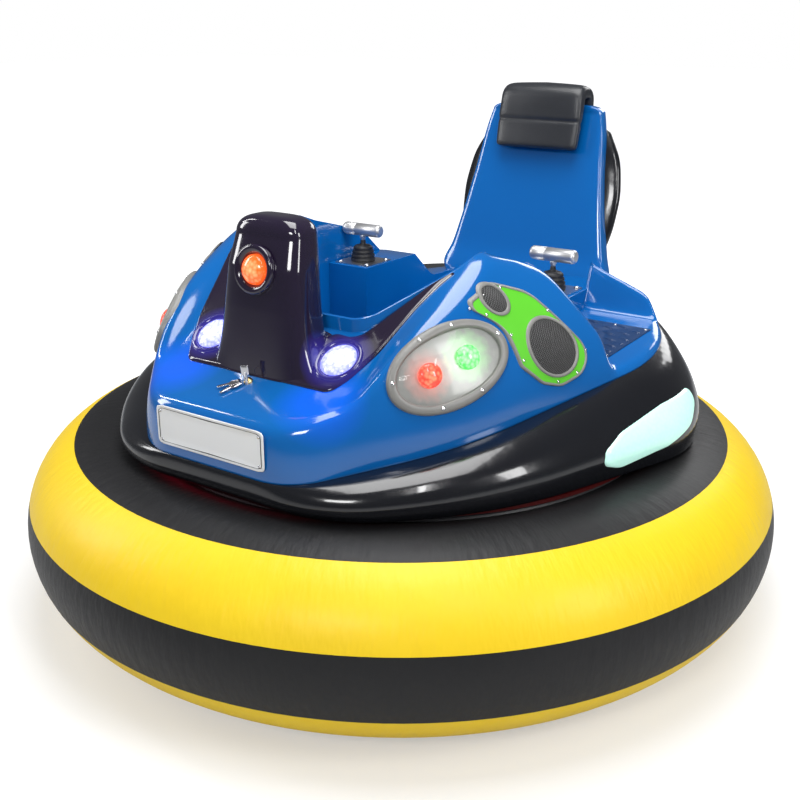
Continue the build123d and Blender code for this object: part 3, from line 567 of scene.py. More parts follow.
def body_skin():
    """Blue moulding: up the flank until it meets the body's top, in along the top to the
    cockpit's rim, both smoothed into one rounded line, then down over the rim as a rolled lip."""
    theta = body_rows()
    rear = (theta > BLUE_END) & (theta < np.pi - BLUE_END)
    theta = np.roll(theta[~rear], -int((theta < BLUE_END).sum()))[:, None]
    t = np.linspace(0, 1, 80)
    radius, height = flank_at(theta, t)
    over = height - top_at(radius * np.cos(theta), radius * np.sin(theta)) + 1e-4
    meet = np.where(over[:, :1] > 0, 0.0, crossing(over) * t[1])
    flank = space(theta, *flank_at(theta, meet * np.linspace(0, 1, 60)))
    rim = radius_at(theta, COCKPIT, COCKPIT_RADII)
    crest = np.hypot(flank[:, -1, 0], flank[:, -1, 1])[:, None]
    inward = crest + (np.minimum(rim, crest - 0.004) - crest) * np.linspace(0, 1, 60)[1:]
    x, y = inward * np.cos(theta), inward * np.sin(theta)
    skin = even_rows(np.concatenate([flank, np.stack([x, y, under_deck(x, y)], -1)], 1), 100)
    skin[..., 2] = np.minimum(skin[..., 2], under_deck(skin[..., 0], skin[..., 1]))
    skin = eased(eased(skin, 4, 1), 1, 0, passes=2)
    angle = np.linspace(0, np.pi / 2, 6)[1:]
    drop = np.concatenate([LIP_RADIUS * (1 - np.cos(angle)), [0.02, 0.035]])
    back = np.concatenate([LIP_RADIUS * np.sin(angle), [LIP_RADIUS, 0.004]])
    out = np.stack([np.cos(theta), np.sin(theta)], -1)
    end = skin[:, -1:, :]
    lip = np.concatenate([end[..., :2] - back[:, None] * out, end[..., 2:] - drop[:, None]], -1)
    foot = skin[:, :1, :] - np.concatenate([0.012 * out, 0.004 + 0 * theta[..., None]], -1)
    return np.concatenate([foot, skin, lip], 1)


def skirt_skin():
    """Black skirt: a flange inwards at its foot, a bulge that swings out to its widest level by
    a sine and back to the seam by a quarter of an ellipse, most of it in front, and at the top
    either a short lip under the blue moulding or, behind the deck line, the rear deck."""
    theta = body_rows()[:, None]
    radii, heights = zip(*(level_at(level, theta, nose)
                           for level, nose in zip(SKIRT, SKIRT_NOSE_RADII)))
    quarter = np.linspace(0, np.pi / 2, 60)
    swing = np.sin(quarter)
    low = np.linspace(0, 1, 24)[:-1]
    front = (0.5 - 0.9 * np.sin(theta)).clip(0, 1)
    widest, seam = radii[2] + 0.01 * front, radii[4]
    middle = (heights[3] - heights[2]) / (heights[4] - heights[2])
    straight = np.where(swing < middle, widest + (radii[3] - widest) * swing / middle,
                        radii[3] + (seam - radii[3]) * (swing - middle) / (1 - middle))
    round_side = seam + (widest - seam) * np.cos(quarter) ** 0.9
    radius = np.concatenate([radii[0] + (widest - radii[0]) * np.sin(low * np.pi / 2),
                             straight + (round_side - straight) * (0.35 + 0.65 * front)], 1)
    height = np.concatenate([heights[0] + (heights[2] - heights[0]) * low,
                             heights[2] + (heights[4] - heights[2]) * swing], 1)
    bulge = eased(space(theta, radius, height), 4, 1)
    at = crossing(bulge[..., 2] - top_at(bulge[..., 0], bulge[..., 1])) * np.linspace(0, 1, 76)
    low = np.floor(at).astype(int).clip(0, bulge.shape[1] - 2)
    rows, share = np.arange(len(theta))[:, None], (at - low)[..., None]
    bulge = bulge[rows, low] * (1 - share) + bulge[rows, low + 1] * share
    end = bulge[:, -1:]
    edge = np.hypot(end[..., 0], end[..., 1])
    behind = smooth((end[..., 1] - DECK_LINE + 0.06) / 0.05)
    inner = np.minimum(edge, seam) - 0.014
    rim = np.minimum(radius_at(theta, COCKPIT, COCKPIT_RADII), inner)
    steps = np.linspace(0, 1, 36)[1:]
    inward = edge + (inner + (rim - inner) * behind - edge) * steps
    x, y = inward * np.cos(theta), inward * np.sin(theta)
    deck = np.minimum(top_at(x, y) - DECK_SINK * np.maximum(0, DECK_LINE - y), end[..., 2])
    lip = np.minimum(end[..., 2] - 0.004 * steps, top_at(x, y) - 0.002)
    top = np.stack([x, y, lip + (deck - lip) * behind], -1)
    foot = space(theta, radii[0] - np.array([[0.06, 0.03, 0.004]]), 0.4745)
    side = eased(even_rows(np.concatenate([foot, bulge], 1), 84), 1, 0, closed=True, passes=1)
    return eased(np.concatenate([side, top], 1), 1, 1, passes=2)


skin = piece("body_skin", [sheet(body_skin())], blue, "blue_shell", "body_shell")
skirt = piece("skirt_skin", [sheet(skirt_skin(), close_rows=True)], black, "black_shell",
              "skirt_shell")


def onto(target, place, along, normal, flat):
    """Points of a grid of plane coordinates, carried along the plane's normal onto a skin."""
    normal = Vector(normal).normalized()
    along = (Vector(along) - normal * normal.dot(Vector(along))).normalized()
    side = normal.cross(along)
    start = np.concatenate([flat, np.full((*flat.shape[:2], 1), DROP)], -1).reshape(-1, 3)
    mesh = bpy.data.meshes.new("lines")
    mesh.from_pydata(start.tolist(), [], [])
    lines = placed("lines", mesh)
    turn = Matrix((along, side, normal)).transposed().to_4x4()
    lines.matrix_world = Matrix.Translation(place) @ turn
    fit = lines.modifiers.new("fit", "SHRINKWRAP")
    fit.target, fit.wrap_method, fit.use_project_z = target, "PROJECT", True
    fit.use_negative_direction, fit.use_positive_direction = True, False
    landed = lines.evaluated_get(bpy.context.evaluated_depsgraph_get())
    local = np.empty(len(start) * 3, np.float32)
    landed.data.vertices.foreach_get("co", local)
    turn = np.array(lines.matrix_world)
    bpy.data.objects.remove(lines)
    spots = local.reshape(-1, 3) @ turn[:3, :3].T + turn[:3, 3]
    return spots.reshape(*flat.shape[:2], 3), np.array(normal)


def oval(long, short):
    """Radius of an ellipse by angle: long times short over the root of their crossed squares."""
    return lambda angle: long * short / np.hypot(short * np.cos(angle), long * np.sin(angle))


def cornered(corners, middle, rounding):
    """Radius of a rounded outline by angle about a middle point."""
    line = spread(rounded(corners, np.zeros(len(corners)) + rounding), 1500, closed=True) - middle
    directions, radii = np.arctan2(line[:, 1], line[:, 0]), np.hypot(*line.T)
    return lambda angle: np.interp(angle, directions, radii, period=TAU)


def patch(target, place, along, normal, outline, edge, crown=None, offset=(0, 0), count=128):
    """Raised sheet on a skin: rings (inset, height) from the outline inwards and then, where a
    crown is given, up to the centre: the crown times one less the square of the share of the
    radius left."""
    angle = around(count)
    insets, heights = np.array(edge).T
    radii = outline(angle) - insets[:, None]
    if crown is not None:
        shares = np.cos(np.linspace(0, np.pi / 2, 14))[1:]
        shares[-1] = 0.002
        radii = np.concatenate([radii, radii[-1] * shares[:, None]])
        heights = np.concatenate([heights, heights[-1] + crown * (1 - shares ** 2)])
    flat = np.stack([radii * np.cos(angle), radii * np.sin(angle)], -1) + offset
    spots, normal = onto(target, place, along, normal, flat)
    return sheet(spots + heights[:, None, None] * normal, close_columns=True, flip=True)


def mirrored(part):
    """A part's mirror image across the middle plane, its faces turned to stay outwards."""
    points, faces = part
    return points * (-1, 1, 1), faces[:, ::-1]


def both(*parts):
    """Each part and its mirror image."""
    return [side for part in parts for side in (part, mirrored(part))]


def turned(profile, place, axis, count=48):
    """Turned form: a profile (distance along the axis, radius) carried round the axis by cosine
    and sine."""
    axis = np.array(axis, float) / np.linalg.norm(axis)
    first = np.cross((0, 0, 1.0) if abs(axis[2]) < 0.95 else (1.0, 0, 0), axis)
    first /= np.linalg.norm(first)
    angle = around(count)[:, None]
    profile = np.array(profile)
    ring = np.cos(angle) * first + np.sin(angle) * np.cross(axis, first)
    points = np.array(place) + profile[:, :1, None] * axis + profile[:, 1:, None] * ring
    return sheet(points, close_columns=True, flip=True)


def heads(spots, normal, radius, height):
    """Domed screw heads at some spots, all facing the same way."""
    profile = np.array(((-0.5, 1.0), (0.35, 1.0), (0.75, 0.85), (1.0, 0.5), (1.05, 0.02)))
    return [turned(profile * (height, radius), spot, normal, 14) for spot in spots]


# Oval lens unit on each cheek: middle, its long direction, its normal
LENS = ((0.407, -0.405, 0.765), (0.431, 0.859, 0.277), (0.7, -0.51, 0.49))
lens_outline = oval(0.15, 0.09)
lens_rim = patch(skin, *LENS, lens_outline, (
    (0, -0.006), (0, 0.006), (0.002, 0.0095), (0.006, 0.0115), (0.016, 0.0115), (0.02, 0.0095),
    (0.022, 0.005), (0.022, -0.006)))
lens_cover = patch(skin, *LENS, lens_outline, ((0.0212, 0.004), (0.0215, 0.008), (0.025, 0.0105)),
                   0.026)
lens_dish = patch(skin, *LENS, lens_outline, ((0.019, 0.0005), (0.022, 0.0015)), 0.0)
piece("lens_rims", both(lens_rim), satin_grey, "dark_plastic", "lens_bezels")
piece("lens_domes", both(lens_cover), clear, "smoke", "lens_covers")
piece("lens_dishes", both(lens_dish), lens_silver, "dark_plastic")
for colour, along, finish in (("red", -0.052, red_glass), ("green", 0.046, green_glass)):
    lamp = patch(skin, *LENS, oval(0.026, 0.026), (
        (0, -0.002), (0, 0.01), (0.001, 0.013), (0.004, 0.016)), 0.005, (along, 0.0), 48)
    piece(f"{colour}_leds", both(lamp), finish, colour, f"{colour}_lamps")
turns = np.radians([8, 62, 118, 172, 233, 300])
rim_middle = lens_outline(turns) - 0.011
flat = np.stack([rim_middle * np.cos(turns), rim_middle * np.sin(turns)], -1)
spots, normal = onto(skin, *LENS, flat[None])
bolts = heads(spots[0] + 0.0112 * normal, normal, 0.0048, 0.0025)

# Speaker panel, its grilles and bolts, laid out in side view
PANEL = ((0.6, 0, 0), (0, 1, 0), (1, 0, 0))
PANEL_CORNERS = (
    (-0.29, 0.852), (-0.256, 0.822), (-0.252, 0.742), (-0.208, 0.697), (-0.16, 0.682),
    (-0.1, 0.698), (-0.064, 0.744), (-0.15, 0.878), (-0.228, 0.908), (-0.322, 0.872))
PANEL_ROUNDING = (0.014, 0.06, 0.014, 0.04, 0.05, 0.05, 0.05, 0.07, 0.03, 0.014)
PANEL_BOLTS = (
    (-0.312, 0.868), (-0.265, 0.888), (-0.214, 0.898), (-0.128, 0.838), (-0.074, 0.745),
    (-0.112, 0.702), (-0.168, 0.692), (-0.244, 0.752), (-0.25, 0.806), (-0.283, 0.852))
panel_middle = np.array([-0.19, 0.8])
panel_outline = cornered(PANEL_CORNERS, panel_middle, PANEL_ROUNDING)
panel = patch(skin, *PANEL, panel_outline, (
    (0, -0.004), (0, 0.002), (0.0015, 0.0038), (0.004, 0.0042)), 0.0, panel_middle, 240)
panel_rim = patch(skin, *PANEL, panel_outline, (
    (-0.004, -0.004), (-0.004, 0.003), (-0.001, 0.0062), (0.002, 0.0058), (0.0032, 0.002)),
    None, panel_middle, 240)
cones, rings = [], []
for centre, radius in (((-0.246, 0.879), 0.03), ((-0.158, 0.766), 0.062)):
    rings += both(patch(skin, *PANEL, oval(radius, radius), (
        (-0.004, 0.003), (-0.003, 0.0075), (0.0, 0.0085), (0.003, 0.0075), (0.004, 0.004)),
        None, centre, 96))
    cones += both(patch(skin, *PANEL, oval(radius, radius), ((0.002, 0.004), (0.004, 0.006)),
                        0.004, centre, 96))
piece("speaker_fronts", both(panel), panel_green, "panel", "speaker_panels")
piece("speaker_rims", both(panel_rim), satin_grey, "dark_plastic")
piece("grille_rings", rings, satin_grey, "dark_plastic")
piece("grille_domes", cones, grille_black, "dark_plastic", "speaker_grilles")
spots, normal = onto(skin, *PANEL, np.array(PANEL_BOLTS)[None])
bolts += heads(spots[0] + 0.0042 * normal, (0.8, -0.34, 0.48), 0.0036, 0.002)
piece("panel_bolts", both(*bolts), chrome, "steel")

# Long lamp on each side of the skirt
LAMP_CORNERS = (
    (-0.168, 0.552), (-0.176, 0.52), (-0.128, 0.503), (0.022, 0.518), (0.112, 0.55),
    (0.17, 0.598), (0.158, 0.624), (0.036, 0.614), (-0.11, 0.581))
LAMP_ROUNDING = (0.016, 0.016, 0.04, 0.06, 0.08, 0.018, 0.018, 0.08, 0.08)
lamp_middle = np.array([-0.01, 0.562])
lamp_outline = cornered(LAMP_CORNERS, lamp_middle, LAMP_ROUNDING)
skirt_lamp = patch(skirt, (0.85, 0, 0), (0, 1, 0), (1, 0, 0), lamp_outline, (
    (0, -0.006), (0, 0.002), (0.002, 0.005), (0.006, 0.007)), 0.003, lamp_middle, 240)
piece("skirt_glows", both(skirt_lamp), mint_glass, "mint", "skirt_lamps")


def domed(rows, power, count, levels, dome, steps, tip):
    """Form through levels (height and three other measures) that closes in a dome of so many
    steps down to a tip: height, share of the width left and the other measures by level, and
    x and y of the squared-off ellipse that each level is, as a share of its half-axes."""
    rows = np.array(rows)
    low = np.linspace(rows[0, 0], rows[-1, 0], levels)
    rise = np.linspace(0, np.pi / 2, steps)[1:]
    share = np.concatenate([np.ones(levels), np.cos(rise) ** power])
    share[-1] = tip
    height = np.concatenate([low, rows[-1, 0] + dome * np.sin(rise)])
    angle = around(count)
    x, y = (np.sign(v) * np.abs(v) ** power for v in (np.cos(angle), -np.sin(angle)))
    return height[:, None], share[:, None], [
        np.interp(low, rows[:, 0], column) for column in rows.T[1:]], x, y


def over_dome(values, height):
    """Values by level, the last of them kept over the dome."""
    return np.pad(values, (0, len(height) - len(values)), "edge")[:, None]


def stack(rows, power, count, levels, dish, dome):
    """Domed form through levels (height, front y, half-width, thickness), hollowed in front by
    the dish."""
    height, share, measures, x, y = domed(rows, 2 / power, count, levels, dome, 12, 0.004)
    front, half, thick = (over_dome(eased(values, 3, 0), height) for values in measures)
    hollow = (y < 0) * (1 - np.abs(x) ** 2.5) * dish
    return np.stack([half * share * x, front + thick / 2 + thick * share / 2 * y + hollow * share,
                     height + 0 * x], -1)


seat = stack((
    (0.4905, 0.566, 0.236, 0.058), (0.69, 0.612, 0.238, 0.07), (0.712, 0.606, 0.3, 0.082),
    (0.735, 0.622, 0.28, 0.08), (0.77, 0.64, 0.262, 0.074), (0.897, 0.672, 0.234, 0.066),
    (1.02, 0.706, 0.213, 0.062), (1.145, 0.739, 0.195, 0.056), (1.19, 0.753, 0.183, 0.05)),
             5.0, 120, 110, 0.016, 0.024)
wings = stack((
    (0.775, 0.676, 0.235, 0.05), (0.86, 0.688, 0.258, 0.066), (0.96, 0.714, 0.264, 0.068),
    (1.06, 0.742, 0.246, 0.062), (1.13, 0.766, 0.204, 0.05)), 2.6, 96, 60, 0.0, 0.03)
piece("seat_skin", [sheet(seat, close_columns=True)], blue, "blue_shell", "seat_back")
piece("side_wings", [sheet(wings, close_columns=True)], black, "black_shell", "seat_back_cover")

# Hood: height, front y, rear y, half-width; and its left arm's outer and inner edge in plan
HOOD = (
    (0.705, -0.569, -0.436, 0.128), (0.86, -0.557, -0.434, 0.112), (0.947, -0.548, -0.428, 0.103),
    (1.014, -0.526, -0.424, 0.093))
ARM_OUTER = (
    (-0.002, -0.567), (0.206, -0.567), (0.234, -0.526), (0.266, -0.46), (0.29, -0.365),
    (0.326, -0.256))
ARM_INNER = (
    (-0.002, -0.5), (0.09, -0.47), (0.13, -0.437), (0.176, -0.44), (0.2, -0.428), (0.24, -0.368),
    (0.32, -0.256))


def hood_cowl():
    """Cowl: domed, leaning and narrowing upwards, and spread at the foot, which follows the
    body's top."""
    height, share, measures, x, y = domed(HOOD, 0.55, 140, 60, 0.042, 14, 0.01)
    lift = np.linspace(0, 1, len(measures[0]))
    front, rear, half = (over_dome(values + foot * (1 - lift) ** 6, height)
                         for values, foot in zip(measures, (0, 0, 0.034)))
    lift = over_dome(lift, height)
    x = x * (half * share)
    y = (front + rear) / 2 + y * ((rear - front) / 2 * share)
    foot = top_at(x, y) + 0.002
    z = np.maximum(height, foot + 0.1 * lift ** 2)
    z[0] = foot[0]
    return np.stack([x, y, z], -1)


def arm_strip():
    """Left arm: a strip between its inner and outer edge in plan, laid on the body and raised
    off it with rounded edges; where it misses the body it takes the body's top."""
    outer = spread(rounded(ARM_OUTER, (0, 0.03, 0.05, 0.2, 0.3, 0), closed=False), 90)
    inner = spread(rounded(ARM_INNER, (0, 0.05, 0.04, 0.05, 0.03, 0.2, 0), closed=False), 90)
    share = np.array((0, 0.008, 0.025, 0.06, *np.linspace(0.1, 0.9, 22), 0.94, 0.975, 0.992, 1))
    flat = inner[:, None] + (outer - inner)[:, None] * share[:, None]
    side = np.minimum(share, 1 - share) * np.linalg.norm(outer - inner, axis=1)[:, None]
    tip = np.linalg.norm(flat - flat[-1:, :], axis=-1)
    height = np.interp(np.minimum(side, tip), (0, 0.0006, 0.003, 0.008),
                       (-0.004, 0.001, 0.0045, 0.0062))
    spots, _ = onto(skin, (0, 0, 1.0), (1, 0, 0), (0, 0, 1), flat)
    missed = spots[..., 2] > 1.1
    spots[..., 2] = np.where(missed, top_at(spots[..., 0], spots[..., 1]), spots[..., 2])
    return sheet(spots + height[..., None] * np.array(NOSE_NORMAL), flip=True)


piece("hood_saddle", [sheet(hood_cowl(), close_columns=True)] + both(arm_strip()), plum,
      "dark_plastic", "hood", "hood_arms")


# Round lamps: amber one on the cowl, white ones in the roots of the arms
COWL_SEAT = (0.0, -0.5525, 0.947), (0, -0.985, 0.17)
nose_seat = (0.183, -0.497, float(top_at(0.183, -0.497)) + 0.005), NOSE_NORMAL
cowl_ring = turned((
    (-0.006, 0.054), (0.003, 0.054), (0.007, 0.051), (0.007, 0.044), (0.001, 0.036),
    (-0.004, 0.034)), *COWL_SEAT)
cowl_lens = turned((
    (-0.006, 0.0335), (0.002, 0.0325), (0.008, 0.028), (0.012, 0.02), (0.0145, 0.01),
    (0.015, 0.0003)), *COWL_SEAT)
nose_ring = turned((
    (-0.008, 0.058), (0.003, 0.058), (0.008, 0.055), (0.008, 0.05), (0.003, 0.045),
    (-0.004, 0.043)), *nose_seat)
nose_lens = turned((
    (-0.006, 0.0445), (0.002, 0.043), (0.007, 0.037), (0.01, 0.028), (0.012, 0.015),
    (0.0125, 0.0003)), *nose_seat)
piece("cowl_lamp_ring", [cowl_ring], plum, "dark_plastic")
piece("cowl_lamp", [cowl_lens], amber_glass, "amber", "hood_lamp")
piece("nose_lamp_rings", both(nose_ring), plum, "dark_plastic")
piece("nose_lamps", both(nose_lens), white_glass, "warm", "head_lamps")

# Control sticks
PIVOT = np.array((0.307, 0.249, 0.794))
curve = np.linspace(0, np.pi / 2, 8)
cap = np.stack([0.01 * np.sin(curve), 0.009 * np.cos(curve) + 0.009], 1)
grip = np.concatenate([[(-0.065, 0.0003)], (cap * (-1, 1) - (0.055, 0))[::-1],
                       [(-0.0215, 0.018), (-0.0208, 0.0168), (-0.0195, 0.0168), (-0.0188, 0.018)],
                       cap + (0.055, 0), [(0.065, 0.0003)]])
stem = (
    (-0.008, 0.0003), (-0.0055, 0.0058), (0.0, 0.008), (0.0055, 0.0058), (0.007, 0.0045),
    (0.04, 0.0045), (0.056, 0.006), (0.062, 0.009), (0.07, 0.009), (0.072, 0.0003))
boot = (
    (-0.006, 0.034), (-0.003, 0.0356), (0.002, 0.0352), (0.005, 0.0305), (0.008, 0.034),
    (0.013, 0.0335), (0.016, 0.0285), (0.019, 0.0315), (0.024, 0.0308), (0.027, 0.0262),
    (0.03, 0.0285), (0.035, 0.027), (0.039, 0.022), (0.0415, 0.014), (0.043, 0.0085),
    (0.048, 0.0075), (0.054, 0.0068), (0.055, 0.005))
for side, name in ((1, "left"), (-1, "right")):
    pivot = PIVOT * (side, 1, 1)
    handle = [turned(grip, pivot + (0, 0, 0.084), (1, 0, 0)), turned(stem, pivot, (0, 0, 1), 24)]
    piece(f"grip_{name}", handle, satin_silver, "grip", f"lever_{name}", body=f"stick_{name}")
    sleeve = piece(f"sleeve_{name}", [turned(boot, pivot, (0, 0, 1))], boot_rubber, "boot",
                   f"boot_{name}", body=None)
    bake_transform(sleeve)
corners = np.array([(x, y, -0.006) for x in (-0.047, 0.047) for y in (-0.047, 0.047)])
piece("plate_bolts", both(*heads(PIVOT + corners, (0, 0, 1.0), 0.0065, 0.0042)), chrome, "steel")


PAD_FOLD = 0.262


def pad():
    """Draped pad: a squared-off ellipse carried along a side-view line from the seat's front
    over its top and down its back; it is thickest on top and pinched at the fold and ends."""
    side_view = ((0.7055, 1.086), (0.728, 1.182), (0.744, 1.247), (0.806, 1.247), (0.812, 1.15))
    line = spread(rounded(side_view, (0, 0.02, 0.024, 0.028, 0), closed=False), 110)
    ahead = np.gradient(line, axis=0)
    ahead /= np.linalg.norm(ahead, axis=1)[:, None]
    out = np.stack([-ahead[:, 1], ahead[:, 0]], 1)
    run = np.linspace(0, 1, len(line))
    fold_1, fold_2 = (np.exp(-((run - PAD_FOLD) / width) ** 2) for width in (0.018, 0.02))
    thick = np.interp(run, (0, 0.25, 0.42, 0.6, 0.75, 1), (0.034, 0.036, 0.05, 0.052, 0.034, 0.03))
    thick = eased(thick, 5, 0) * (1 - 0.22 * fold_1)
    wide = np.interp(run, (0, 0.3, 1), (0.133, 0.136, 0.13)) * (1 - 0.012 * fold_2)
    ends = (1 - np.abs(2 * run - 1) ** 40) ** 0.5
    wide, thick = wide * (0.86 + 0.14 * ends), thick * ends
    angle = around(96)
    cos, sin = np.cos(angle), np.sin(angle)
    x = wide[:, None] * np.sign(cos) * np.abs(cos) ** 0.35
    lift = thick[:, None] / 2 * np.sign(sin) * np.abs(sin) ** 0.6 * (1 + 0.05 * np.cos(x / 0.03))
    return np.concatenate([x[..., None], line[:, None] + lift[..., None] * out[:, None]], -1)


cushion = piece("head_pad", [sheet(pad(), close_columns=True)], leather, "seat_pad", "headrest")


def slab(outline, place, along, normal, thickness, rings=((0, 0), (0, 0.8), (0.0012, 1.0))):
    """Flat part: an outline given by angle as rings (inset, share of the thickness) that rise
    along the normal and close on the middle."""
    normal = np.array(normal, float) / np.linalg.norm(normal)
    along = np.array(along, float) - normal * np.dot(normal, along)
    along /= np.linalg.norm(along)
    angle = around(FLAT_COUNT)
    insets, lifts = np.array(rings).T
    full = outline(angle)
    radii = np.concatenate([full - insets[:, None], full * np.array([[0.5], [0.001]])])
    lifts = np.pad(lifts, (0, 2), "edge") * thickness
    points = (np.array(place) + (radii * np.cos(angle))[..., None] * along
              + (radii * np.sin(angle))[..., None] * np.cross(normal, along)
              + lifts[:, None, None] * normal)
    return sheet(points, close_columns=True, flip=True)


# Blank number plate with a dark line inside its edge
plate_place = (0, -0.7155, 0.613), (1, 0, 0), (0, -1, 0)
plate_outline, line_outline = (
    cornered(((-x, -z), (x, -z), (x, z), (-x, z)), np.zeros(2), rounding)
    for x, z, rounding in ((0.155, 0.045, 0.011), (0.149, 0.039, 0.008)))
plate = slab(plate_outline, *plate_place, 0.0022,
             ((0, 0), (0, 0.7), (0.0008, 1.0), (0.0045, 1.0), (0.006, 0.8)))
points, quads = slab(line_outline, *plate_place, 0.0023,
                     ((0, 0.5), (0, 1.0), (0.002, 1.0), (0.002, 0.5)))
screws = np.array([(x, -0.7178, z) for x in (-0.143, 0.143) for z in (0.58, 0.646)])
piece("plate_face", [plate], plate_white, "plate", "number_plate")
piece("plate_line", [(points, quads[:3 * FLAT_COUNT])], seam_black, "plate")
piece("plate_screws", heads(screws, (0, -1.0, 0), 0.0036, 0.0018), chrome, "steel")


def tread():
    """Boarding step's plate: a bilinear patch between four corners on the step's floor, with
    staggered raised bars; a bar's height falls with the larger of its two scaled offsets."""
    inner = np.array(((0.408, 0.128), (0.408, 0.236)))
    outer = np.array(((0.56, 0.046), (0.592, 0.236)))
    u, v = np.meshgrid(np.linspace(0, 1, 150), np.linspace(0, 1, 150), indexing="ij")
    near, far = (inner[end] + (outer[end] - inner[end]) * u[..., None] for end in (0, 1))
    flat = near + (far - near) * v[..., None]
    length = 0.94 * flat[..., 0] - 0.34 * flat[..., 1]
    across = (0.34 * flat[..., 0] + 0.94 * flat[..., 1]) / 0.024
    row = np.round(across)
    along = length / 0.052 + 0.5 * (row % 2)
    along = (along - np.round(along)) * 0.052
    across = (across - row) * 0.024
    bar = (1.6 - np.maximum(np.abs(along) / 0.012, np.abs(across) / 0.0022)).clip(0, 1)
    margin = np.minimum(np.minimum(u, 1 - u), np.minimum(v, 1 - v))
    height = np.interp(margin, (0, 0.004, 0.008), (-0.002, 0.0025, 0.003))
    height += 0.0026 * bar * (margin > 0.07)
    spots, _ = onto(skin, (0, 0, 1.0), (1, 0, 0), (0, 0, 1), flat)
    spots[..., 2] += height
    corners = spots[[8, 8, -9, -9, 75], [8, -9, 8, -9, -9]]
    return sheet(spots), corners


tread_sheet, tread_corners = tread()
piece("step_plate", [tread_sheet], tread_blue, "dark_blue", "step_tread")
piece("step_screws", heads(tread_corners, (0, -0.17, 0.985), 0.0038, 0.002), chrome, "steel")

# Ignition lock with its key and two spare keys on a ring
lock = np.array((0.0, -0.586, float(top_at(0.0, -0.586))))
lock_normal = np.array((0, -0.316, 0.949))
BARREL = (
    (-0.003, 0.0105), (0.004, 0.0105), (0.0052, 0.0095), (0.0052, 0.0075), (0.009, 0.007),
    (0.0095, 0.0003))
KEY = (
    (-0.012, -0.009), (0.008, -0.009), (0.014, -0.0035), (0.038, -0.0035), (0.041, 0.0),
    (0.038, 0.0035), (0.014, 0.0035), (0.008, 0.009), (-0.012, 0.009))
key_outline = cornered(KEY, np.zeros(2), 0.002)
keys = [slab(key_outline, lock + lock_normal * 0.03, -lock_normal, (0.3, -0.95, 0), 0.0024)]
for x, y, ahead_x, ahead_y in ((-0.022, -0.606, -0.75, -0.66), (-0.016, -0.61, -0.35, -0.93)):
    place = (x, y, float(top_at(x, y)) + 0.005 + 0.1 * abs(x + 0.016))
    keys.append(slab(key_outline, place, (ahead_x, ahead_y, 0.316 * ahead_y), lock_normal, 0.0024))
turn_on = around(40)[:, None, None]
tube_on = around(8)[:, None]
ring_right, ring_up = np.array((0.8, -0.6, 0)), np.array((0.2, 0.3, 0.93))
out = np.cos(turn_on) * ring_right + np.sin(turn_on) * ring_up
key_ring = (lock + (-0.006, -0.01, 0.016) + out * (0.013 + 0.0009 * np.cos(tube_on))
            + 0.0009 * np.sin(tube_on) * np.cross(ring_right, ring_up))
keys.append(sheet(key_ring, close_rows=True, close_columns=True))
piece("lock_barrel", [turned(BARREL, lock, lock_normal, 32)], brass, "brass", "key_switch")
piece("key_set", keys, chrome, "steel")


def softened(name, width, slot):
    """Copy of an angular blue CAD moulding with its doubles merged and its edges rounded."""
    copy = placed(f"{name}_skin", nodes[name].data.copy())
    copy.data.transform(nodes[name].matrix_world)
    mesh = bmesh.new()
    mesh.from_mesh(copy.data)
    bmesh.ops.remove_doubles(mesh, verts=mesh.verts, dist=1e-5)
    bmesh.ops.dissolve_limit(mesh, angle_limit=np.radians(3.0), verts=mesh.verts, edges=mesh.edges)
    mesh.to_mesh(copy.data)
    mesh.free()
    soft = copy.modifiers.new("edges", "BEVEL")
    soft.width, soft.segments = width, 3
    soft.limit_method, soft.angle_limit = "ANGLE", np.radians(35.0)
    soft.harden_normals = True
    adopt(copy, blue, slot, (name,), "chassis")


softened("seat_moulding", 0.008, "blue_shell")
softened("cockpit_tub", 0.006, "dark_plastic")

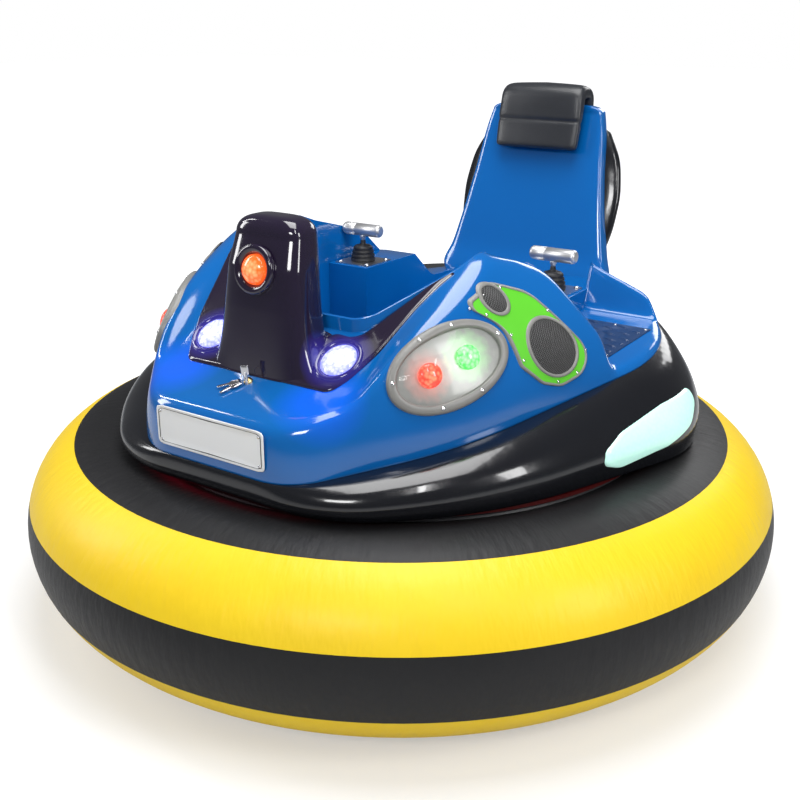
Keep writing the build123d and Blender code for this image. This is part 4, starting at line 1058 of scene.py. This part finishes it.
# Floor, lights and background
floor_mesh = bpy.data.meshes.new("floor")
floor_corners = [(-30, -30, 0), (30, -30, 0), (30, 30, 0), (-30, 30, 0)]
floor_mesh.from_pydata(floor_corners, [], [(0, 1, 2, 3)])
ground = Finish("floor_white", roughness=0.6, base_color=(0.62, 0.62, 0.62),
                specular_ior_level=0.2, emission_strength=1.0)
ground_x, ground_y, _ = ground.axes()
far = ((ground_x * ground_x + ground_y * ground_y).of("SQRT") - 1.1) / 1.3
white = ground.blend(far.of("MAXIMUM", 0.0).of("MINIMUM", 1.0), (0.4, 0.4, 0.4), (1.0, 1.0, 1.0))
RAYS = ("Is Camera Ray", "Is Transmission Ray", "Is Glossy Ray")
seen, through, _ = ground.outputs("LightPath", RAYS)
ground.surface(emission_color=ground.blend(seen.of("MAXIMUM", through), DARK, white))
floor_mesh.materials.append(ground.material)
placed("floor", floor_mesh)

# Straight and through glass the background is white; in reflections it is dimmer
world = bpy.data.worlds.new("studio")
bpy.context.scene.world = world
studio = Nodes(world)
seen, through, mirror = studio.outputs("LightPath", RAYS)
soft = studio.add("Background", inputs={0: (0.85, 0.9, 1.0), 1: 0.24 - mirror * 0.18})
backdrop = studio.add("Background", inputs={0: (1.0, 1.0, 1.0)})
share = mirror * 0.08 + seen.of("MAXIMUM", through)
mixed = studio.add("MixShader", inputs={0: share, 1: soft, 2: backdrop})
studio.add("OutputWorld", inputs={0: mixed})

# Rectangular lamps: place, aim, width, height and power
for name, place, aim, width, height, power in (
        ("overhead", (0.2, -0.2, 4.2), (0, 0, 0.6), 2.2, 3.0, 135.0),
        ("front", (1.4, -4.4, 3.0), (0, 0, 0.6), 1.4, 0.8, 62.0),
        ("left_side", (3.8, -0.4, 2.2), (0, 0, 0.6), 0.7, 1.6, 45.0),
        ("right_side", (-3.6, -2.0, 2.2), (0, 0, 0.6), 0.8, 1.8, 40.0),
        ("rear", (0.5, 4.0, 2.8), (0, 0, 0.7), 2.4, 1.2, 45.0),
        ("left_strip", (2.2, -1.6, 3.2), (0.3, 0, 0.7), 0.12, 1.4, 16.0),
        ("right_strip", (-2.8, -1.0, 2.9), (0, -0.3, 0.7), 0.12, 1.4, 14.0)):
    lamp = bpy.data.lights.new(name, "AREA")
    lamp.shape, lamp.size, lamp.size_y, lamp.energy = "RECTANGLE", width, height, power
    placed(name, lamp, place, Vector(aim) - Vector(place))
